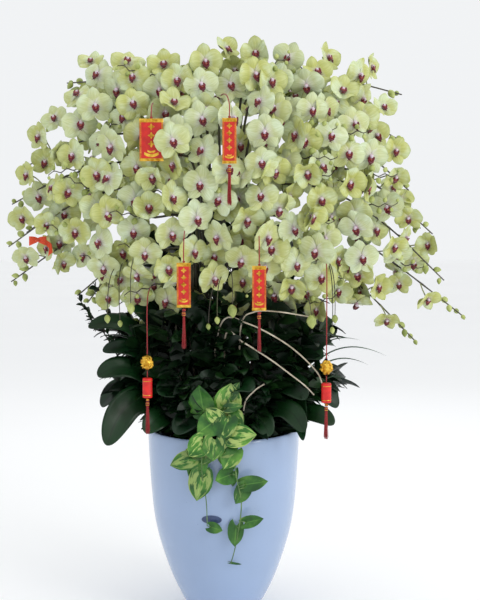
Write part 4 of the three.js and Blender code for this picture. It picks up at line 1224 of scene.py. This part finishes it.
def medium():
    """An uneven bed with loose bark chips on it."""
    radius = pot_radius(MEDIUM_TOP) - POT_WALL - 1
    random = np.random.default_rng(3)
    r = np.linspace(0.01, 1, 16)[:, None] * radius
    a = around(64)[None]
    z = MEDIUM_TOP - 5 + 1.4 * np.sin(r * 0.15 + 3 * a) + 1.2 * np.cos(r * 0.31 - 5 * a)
    points = np.stack([r * np.cos(a), r * np.sin(a), z], 2)
    batch = Batch()
    batch.grid(points, 0, close_v=True, along=0.5)
    for _ in range(420):
        at = radius * 0.95 * math.sqrt(random.uniform(0, 1))
        angle = random.uniform(0, 2 * np.pi)
        centre = np.array([at * math.cos(angle), at * math.sin(angle),
                           MEDIUM_TOP - 4 + random.uniform(0, 2)])
        length, wide = random.uniform(12, 24), random.uniform(4, 8)
        along = unit(np.append(random.normal(0, 1, 2), random.normal(0, 0.15)))
        t = np.linspace(-0.5, 0.5, 5)
        path = centre + np.outer(t, along) * length
        tube(batch, path, wide / 2 * np.array([0.5, 0.95, 1, 0.9, 0.45]) * 0.8, 5, 0, along=0.5)
    batch.make("bark_medium", [BARK], smooth=False, node="growing_medium", slot="bark")


def plaque():
    """A plain oval plaque that follows the pot's side, with a raised rim and no lettering."""
    centre_z, centre_x, half_wide, half_high = 270, -26, 24, 10.5
    angle = around(40)
    steps = ((1.0, 0.2), (1.0, 1.3), (0.95, 1.7), (0.88, 1.7), (0.85, 1.2), (0.5, 1.3), (0.02, 1.35))
    rings = []
    for share, proud in steps:
        x = centre_x + half_wide * share * np.cos(angle)
        z = centre_z + half_high * share * np.sin(angle)
        radius = np.array([pot_radius(q) for q in z]) + proud
        rings.append(np.stack([x, -np.sqrt(radius ** 2 - x ** 2), z], 1))
    batch = Batch()
    batch.grid(np.array(rings), 0, close_v=True, along=0.5)
    batch.make("oval_plaque", [PLAQUE], slot="glaze")


pot()
medium()
plaque()

# ---- lower foliage ------------------------------------------------------------------------------
# each leaf: pull point, tip, width and roll, heights above the rim
ROSETTES = {
    "orchid_leaves_left": ((-108, -52), [
        ((-165, -80, 330), (-322, -120, 262), 50, 48), ((-160, -120, 260), (-284, -150, 208), 46, 52),
        ((-190, -130, 230), (-294, -165, 150), 56, 55), ((-215, -150, 190), (-268, -215, -4), 72, 60),
        ((-230, -60, 180), (-300, -60, 60), 60, 45), ((-130, -150, 100), (-180, -190, 20), 56, 45),
        ((-210, 40, 180), (-290, 90, 40), 58, -30), ((-120, -90, 300), (-236, -130, 330), 58, 62),
        ((-90, -140, 160), (-150, -178, 110), 60, 50)]),
    "orchid_leaves_front": ((48, -128), [
        ((75, -160, 100), (110, -196, 14), 54, -42), ((-60, -150, 100), (-110, -190, 18), 58, 45),
        ((140, -150, 140), (190, -205, 26), 52, -45), ((20, -170, 180), (70, -195, 120), 56, -40),
        ((60, -150, 60), (104, -160, 132), 62, -70), ((-30, -150, 90), (-74, -170, 120), 58, 60)]),
    "orchid_leaves_right": ((112, -36), [
        ((190, -110, 180), (190, -186, 2), 56, -60), ((200, -60, 180), (280, -70, 60), 56, -50),
        ((210, 40, 190), (290, 80, 50), 56, 30), ((170, -100, 260), (236, -150, 190), 50, -52),
        ((190, -130, 100), (264, -156, 34), 46, -55), ((130, -120, 200), (196, -168, 96), 62, -52)]),
    "orchid_leaves_back": ((60, 122), [
        ((100, 190, 180), (130, 270, 40), 58, 20), ((-10, 210, 220), (-110, 262, 60), 58, -20),
        ((150, 150, 200), (230, 210, 60), 56, 15), ((60, 200, 140), (40, 280, 20), 54, 0),
        ((-80, 170, 200), (-190, 220, 120), 58, -40), ((20, 180, 260), (-20, 240, 200), 56, -10)]),
}


def strap_half(width, t):
    """Half widths of a strap leaf: it widens from its sheath and ends in a round tip."""
    body = np.interp(t, [0, 0.2, 0.45, 0.74, 1], [0.42, 0.76, 1, 1, 1])
    tip = np.sqrt(np.clip(1 - ((t - 0.74) / 0.26) ** 2, 0.0009, 1))
    return width / 2 * body * np.where(t > 0.74, tip, 1)


for name, (crown, leaves) in ROSETTES.items():
    random = np.random.default_rng(len(name))
    batch = Batch()
    foot = np.array([crown[0], crown[1], STEM_BASE_Z])
    t = np.linspace(0, 1, 6)[:, None]
    tube(batch, foot + t * np.array([0, 0, 29]), [8.6, 8.2, 8.8, 8.0, 8.4, 6.0], 12, 0, edge=1.0)
    for pull, tip, width, roll in leaves:
        t = 1 - (1 - np.linspace(0, 1, 30)) ** 1.7
        midrib = bend(foot + [0, 0, 18], over_rim(pull), over_rim(tip), t[:, None])
        thick_leaf(batch, midrib, strap_half(width, t), LEAF_THICKNESS, math.radians(roll), 0.24, cols=9,
                   wave=0.05, phase=random.uniform(0, 6), fresh=random.uniform(0, 0.12))
    batch.make(name + "_blades", [ORCHID_LEAF], node=name, slot="orchid_leaf")

# each shrub: foot, and the headings in degrees between which it fans out
SHRUBS = {"filler_shrub_left": ((-78, 8), 90, 275), "filler_shrub_right": ((82, 14), -95, 90)}


def broad_leaf(batch, root, direction, face, length, width, random):
    """A lance-shaped leaf whose upper side turns to the face direction."""
    t = np.linspace(0, 1, 8)[:, None]
    tip = root + direction * length + np.array([0, 0, -length * random.uniform(0.1, 0.4)])
    rib = bend(root, root + direction * length * 0.55 + np.array([0, 0, length * 0.08]), tip, t)
    tangent = unit(np.gradient(rib, axis=0))
    normal = unit(face - tangent * (tangent @ face)[:, None])
    wide = np.cross(normal, tangent)
    shares, widths = [0, 0.12, 0.3, 0.5, 0.72, 0.9, 1], [0.1, 0.5, 0.9, 1, 0.8, 0.36, 0.03]
    half = width / 2 * np.interp(t[:, 0], shares, widths)
    v = np.linspace(-1, 1, 7)
    edge = np.abs(v)[None]
    lift = 0.26 * edge ** 1.3 * half[:, None] + 0.9 * np.sin(t * 10 + v[None] * 2) * edge
    points = blade_points(rib, wide, normal, v[None] * half[:, None], lift)
    batch.grid(points, 0, along=t, edge=edge, fresh=random.uniform(0, 0.5) ** 2)


def shoot(batch, twigs, points, leaves, sizes, start, centre, random):
    """A twig along a curve with leaves set round it, denser to the tip."""
    t = np.linspace(0, 1, 24)[:, None]
    twig = bend(*points, t)
    tube(twigs, twig, 2.1 - 1.3 * t[:, 0], 6)
    for j in range(leaves):
        share = start + (1 - start) * (j + 0.5) / leaves
        at = int(share * 22)
        root = twig[at]
        ahead = unit(twig[at + 1] - twig[max(at - 1, 0)])
        turn = j * GOLDEN_ANGLE + random.uniform(0, 0.6)
        round_twig = np.array([math.cos(turn), math.sin(turn), random.uniform(-0.1, 0.35)])
        out = unit((root - centre) * np.array([1, 1, 0.15]))
        direction = unit(round_twig * 0.75 + ahead * 0.4 + out * 0.55)
        face = unit(out * 0.8 + np.array([0, 0, 0.75]) + random.normal(0, 0.3, 3))
        length = random.uniform(*sizes)
        broad_leaf(batch, root, direction, face, length, length * random.uniform(0.36, 0.46), random)


# rings of shoots: reach, rise and number of shoots
FANS = [(212, 170, 7), (205, 285, 8), (135, 385, 8), (60, 370, 4)]


def fan_shoots(batch, twigs, foot, start, stop, random):
    """Rings of shoots that spread from one foot between two headings in degrees."""
    base = np.array([foot[0], foot[1], STEM_BASE_Z])
    tube(twigs, base + np.linspace(0, 1, 5)[:, None] * np.array([0, 0, 25]), [7, 6, 5.6, 5, 4.4], 8)
    for ring, (reach, rise, count) in enumerate(FANS):
        for k in range(count):
            angle = math.radians(start + (stop - start) * (k + 0.5) / count)
            far = reach * random.uniform(0.85, 1.05)
            high = rise * random.uniform(0.8, 1.1)
            ahead = np.array([math.cos(angle), 0.85 * math.sin(angle), 0])
            tip = base + ahead * far + np.array([0, 0, high])
            pull = base + ahead * far * (0.35 if ring else 0.6) + np.array([0, 0, high * 0.75])
            shoot(batch, twigs, (base + [0, 0, 2], pull, tip), 20, (54, 86), 0.3,
                  np.array([0, 0, base[2] + high * 0.4]), random)


FOLIAGE_FRONT = -206
BEHIND_CHARM = -200
BEHIND_POTHOS = -160
CHARM_CLEARANCE = 36


def keep_clear(points):
    """Leaf points moved off the pot's wall, the charms in front and the pothos cluster."""
    over_wall = np.hypot(points[:, 0], points[:, 1]) > RIM_RADIUS - POT_WALL - 4
    low = POT_HEIGHT + 4
    raised = low + 0.1 * (points[:, 2] - low + 40)
    points[:, 2] = np.where(over_wall & (points[:, 2] < low), raised, points[:, 2])
    x, z = points[:, 0], points[:, 2]
    by_charm = np.any([np.abs(x - route[-1][0]) < CHARM_CLEARANCE for route in CHARMS.values()], axis=0)
    behind_pothos = (np.abs(x) < 80) & (z < POT_HEIGHT + 150)
    front = FOLIAGE_FRONT + 16 * np.sin(0.045 * x + 1) * np.sin(0.03 * z)
    front = np.where(by_charm, BEHIND_CHARM, np.where(behind_pothos, BEHIND_POTHOS, front))
    pressed = front + 0.3 * (points[:, 1] - front)
    points[:, 1] = np.where(points[:, 1] < front, pressed, points[:, 1])
    return points


# upright shoots in front of the stems: foot x, foot y, tip x, tip y, rise
FRONT_SHOOTS = [
    (-20, -132, -36, -172, 385), (-52, -126, -92, -166, 365), (-84, -106, -150, -150, 345),
    (-8, -138, -6, -176, 290), (-66, -118, -112, -172, 225), (26, -136, 30, -174, 395),
    (56, -124, 84, -168, 375), (86, -104, 140, -156, 355), (14, -140, 10, -176, 150),
    (64, -118, 116, -172, 225), (-38, -132, -54, -176, 130), (42, -132, 58, -176, 140),
    (102, -84, 206, -128, 290), (-100, -84, -216, -124, 285), (4, -120, 0, -150, 400),
    (110, -60, 250, -100, 210), (-110, -60, -240, -100, 200),
]
# upright shoots behind the stems
BACK_SHOOTS = [(-60, 120, -90, 166, 340), (-14, 132, -20, 176, 330), (34, 132, 44, 170, 350),
               (78, 104, 112, 160, 320), (-96, 88, -160, 134, 290), (0, 134, 6, 190, 190),
               (110, 70, 190, 110, 260)]
# tall shoots that rise among the stems into the canopy
INNER_SHOOTS = [(-30, 50, -70, 40, 610), (24, 56, 44, 50, 630), (-70, 44, -180, 30, 520),
                (72, 48, 190, 30, 520), (-12, 66, -10, 70, 700), (60, 60, 110, 60, 560),
                (-56, 66, -120, 70, 560), (10, 30, 14, -10, 560)]
# thin sprigs that stand out of the mass on the left, with small leaves
SPRIGS = [(-240, -60, 250, -352, -92, 372), (-230, -40, 270, -318, -70, 410),
          (-200, -60, 240, -330, -100, 330)]

for name, (foot, start, stop) in SHRUBS.items():
    random = np.random.default_rng(len(name) + 7)
    batch, twigs = Batch(), Batch()
    fan_shoots(batch, twigs, foot, start, stop, random)
    hand = -1 if foot[0] < 0 else 1
    for x, y, tip_x, tip_y, rise in FRONT_SHOOTS + BACK_SHOOTS + INNER_SHOOTS:
        if (x < 0) == (hand < 0):
            low = np.array([x, y, STEM_BASE_Z + 1])
            tip = np.array([tip_x, tip_y, MEDIUM_TOP + rise])
            pull = np.array([(x + tip_x) / 2 * 0.9, (y + tip_y) / 2, MEDIUM_TOP + rise * 0.6])
            shoot(batch, twigs, (low, pull, tip), int(12 + rise / 15), (58, 96), 0.12,
                  np.array([0, 0, MEDIUM_TOP + rise * 0.3]), random)
    if hand < 0:
        for x, y, z, tip_x, tip_y, tip_z in SPRIGS:
            low = np.array([x, y, MEDIUM_TOP + z - 60])
            tip = np.array([tip_x, tip_y, MEDIUM_TOP + tip_z])
            pull = (low + tip) / 2 + np.array([0, 0, 24])
            shoot(batch, twigs, (low, pull, tip), 14, (20, 32), 0.45, np.array([0, 0, MEDIUM_TOP]), random)
    batch.points = [keep_clear(np.concatenate(batch.points))]
    batch.make(name + "_leaves", [SHRUB_LEAF], node=name, slot="shrub_leaf")
    twigs.make(name + "_twigs", [WOOD], slot="shrub_leaf")

# each blade: pull point and tip over the rim, and width
GRASS_BLADES = [((210, -70, 280), (390, -130, 195), 8), ((210, -90, 240), (345, -150, 176), 8),
                ((190, -60, 270), (330, -110, 230), 7), ((250, -70, 190), (302, -130, 130), 6)]
grass = Batch()
grass_foot = np.array([128, -84, STEM_BASE_Z + 6])
grass_sheath = grass_foot + np.linspace(-0.35, 0.6, 5)[:, None] * np.array([0, 0, 16])
tube(grass, grass_sheath, [5, 5.4, 5, 4.6, 4], 9, 0, edge=1.0)
for pull, tip, width in GRASS_BLADES:
    t = np.linspace(0, 1, 26)[:, None]
    half = width / 2 * np.interp(t[:, 0], [0, 0.3, 0.8, 1], [0.8, 1, 0.7, 0.04])
    thick_leaf(grass, bend(grass_foot, over_rim(pull), over_rim(tip), t), half, 0.8, 0.5, 0.5, cols=5)
grass.make("grass_blades", [GRASS], node="grass_tuft", slot="grass")

# each vine: its foot and stem points, then its leaves as x, height, distance out, angle, length and width
VINES = {
    "pothos_vine_1": ([(-24, -54), (-20, -26, 32), (-12, 18, 18), (-20, 32, -30)], [
        (-50, 100, -6, 100, 78, 62), (-4, 85, -10, 70, 76, 62), (-36, 39, 18, 215, 66, 56),
        (3, 34, 24, 250, 60, 54), (49, 21, 30, 5, 72, 52), (-20, -14, 30, 265, 60, 50)]),
    "pothos_vine_2": ([(-48, -58), (-48, -26, 30), (-46, 16, 14), (-48, 22, -60), (-38, 14, -132),
                       (-36, 12, -188)], [
        (-95, -41, 22, 195, 66, 44), (-61, -11, 26, 225, 58, 50), (-54, -98, 26, 260, 76, 54),
        (-64, -62, 20, 245, 56, 44), (-15, -196, 14, -15, 34, 27)]),
    "pothos_vine_3": ([(8, -52), (12, -24, 30), (20, 16, 14), (33, 22, -75), (44, 16, -132), (39, 10, -190),
                       (28, 2, -247), (19, -8, -281)], [
        (15, -36, 26, 240, 60, 46), (78, -89, 20, 10, 62, 36), (42, -117, 22, 240, 50, 36),
        (74, -176, 18, 15, 50, 30), (30, -213, 16, 265, 54, 36)]),
}

# younger leaves that fill the cluster over the rim, as the vines' leaf rows
YOUNG_LEAVES = {
    "pothos_vine_1": [(15, 110, -4, 80, 66, 60), (30, 124, -2, 60, 40, 28), (29, 84, 12, 10, 40, 24),
                      (31, 48, 8, 320, 56, 52), (-24, 70, 20, 140, 44, 36)],
    "pothos_vine_2": [(-44, -32, 16, 240, 50, 44), (-47, -65, 14, 350, 48, 36), (-70, -20, 12, 160, 40, 34),
                      (-58, -78, 10, 200, 44, 32)],
    "pothos_vine_3": [(-2, -13, 26, 215, 56, 48), (18, -39, 16, 300, 52, 44), (25, -81, 14, 265, 40, 26),
                      (2, -77, 18, 200, 48, 40), (32, -283, 8, -6, 30, 6)],
}


def heart_leaf(batch, centre, angle, length, width, lean, cream, deep):
    """A pothos leaf: a heart with a drawn-out tip, its face to the front."""
    t = np.linspace(0, 1, 19)[:, None]
    v = np.linspace(-1, 1, 11)[None]
    shares = [0, 0.05, 0.14, 0.28, 0.46, 0.64, 0.8, 0.92, 1]
    widths = [0.5, 0.8, 0.96, 1.04, 1, 0.82, 0.52, 0.22, 0.02]
    half = width / 2 * np.interp(t[:, 0], shares, widths)
    along = (t - 0.5) * length - 0.3 * length * np.abs(v) ** 1.6 * (1 - t) ** 3
    across = v * half[:, None]
    raised = 0.16 * np.abs(across) - 0.05 * length * (2 * t - 1) ** 2 + 1.2 * np.sin(t * 8 + v * 2)
    a = math.radians(angle)
    ahead = unit([math.cos(a), -0.12, math.sin(a)])
    face = unit(np.array([lean, -1.0, 0.28]) - ahead * np.dot([lean, -1.0, 0.28], ahead))
    wide = np.cross(ahead, face)
    points = (centre + along[..., None] * ahead + across[..., None] * wide + raised[..., None] * face)
    batch.grid(points, 1, along=t, across=v, edge=np.abs(v), cream=cream, deep=deep)
    return centre - ahead * length * 0.44


def vine_point(place):
    """A stem point: x, distance out from the rim's edge and height above it, or a foot's x and out."""
    if len(place) == 2:
        return np.array([place[0], -(RIM_RADIUS + place[1]), STEM_BASE_Z + 1])
    x, out, height = place
    height = height * (STRAND_DROP if height < 0 else 1)
    inward = RIM_RADIUS - pot_radius(POT_HEIGHT + height) if height < 0 else 0
    return np.array([x, -(RIM_RADIUS + out - 0.35 * inward), POT_HEIGHT + height])


for name, (stem, leaves) in VINES.items():
    random = np.random.default_rng(len(name) + int(name[-1]))
    batch = Batch()
    points = [vine_point(p) for p in stem]
    path = np.array([spline(points, u) for u in np.linspace(0, 1, 70)])
    tube(batch, path, 2.0 - 0.9 * np.linspace(0, 1, 70), 8, 0, edge=1.0)
    for x, height, out, angle, length, width in leaves + YOUNG_LEAVES[name]:
        z = POT_HEIGHT + height * (STRAND_DROP if height < 0 else 1)
        centre = np.array([x, -(pot_radius(min(z, POT_HEIGHT)) + out), z], float)
        on_strand = height < -80 and name == "pothos_vine_3"
        cream = random.uniform(-1.0, 0.1) if on_strand else random.choice([-0.8, -0.2, 0.3, 0.7, 1.0])
        deep = random.uniform(0.35, 0.6) if on_strand else random.uniform(0, 0.55)
        short = 0.84 if width > 30 and not on_strand else 0.92
        heel = heart_leaf(batch, centre, angle, length * short, width * (1.04 if width > 30 else 0.96),
                          random.normal(0, 0.25), cream, deep)
        near = path[np.argmin(np.linalg.norm(path - heel, axis=1))]
        t = np.linspace(0, 1, 8)[:, None]
        stalk = bend(near, (near + heel) / 2 + np.array([0, -4.0, 3.0]), heel, t)
        tube(batch, stalk, 1.1, 6, 0, edge=1.0)
    batch.make(name + "_growth", [VINE, POTHOS], node=name, slot="pothos")

# each cane's points over the rim
CANES = {
    "arching_cane_1": [(-8, -98, -39), (-22, -138, 140), (0, -185, 282), (62, -205, 278), (150, -222, 232),
                       (214, -228, 174), (232, -222, 138)],
    "arching_cane_2": [(12, -104, -39), (6, -140, 110), (8, -180, 252), (50, -200, 234), (112, -214, 196),
                       (156, -222, 164), (190, -226, 138), (212, -226, 116)],
    "arching_cane_3": [(32, -98, -39), (38, -140, 140), (44, -190, 275), (72, -210, 306), (126, -220, 308),
                       (212, -214, 294)],
    "arching_cane_4": [(74, -134, -39), (52, -150, 30), (52, -178, 88), (74, -192, 120), (98, -200, 138)],
}
for name, route in CANES.items():
    points = [over_rim(p) for p in route]
    points[0][2] = STEM_BASE_Z + 1
    u = np.linspace(0, 1, 80)
    path = np.array([spline(points, x) for x in u])
    radius = 2.3 - 0.9 * u + 0.25 * (np.sin(u * 46) > 0.93)
    batch = Batch()
    tube(batch, path, radius, 9)
    batch.make(name + "_stalk", [CANE], node=name, slot="cane")
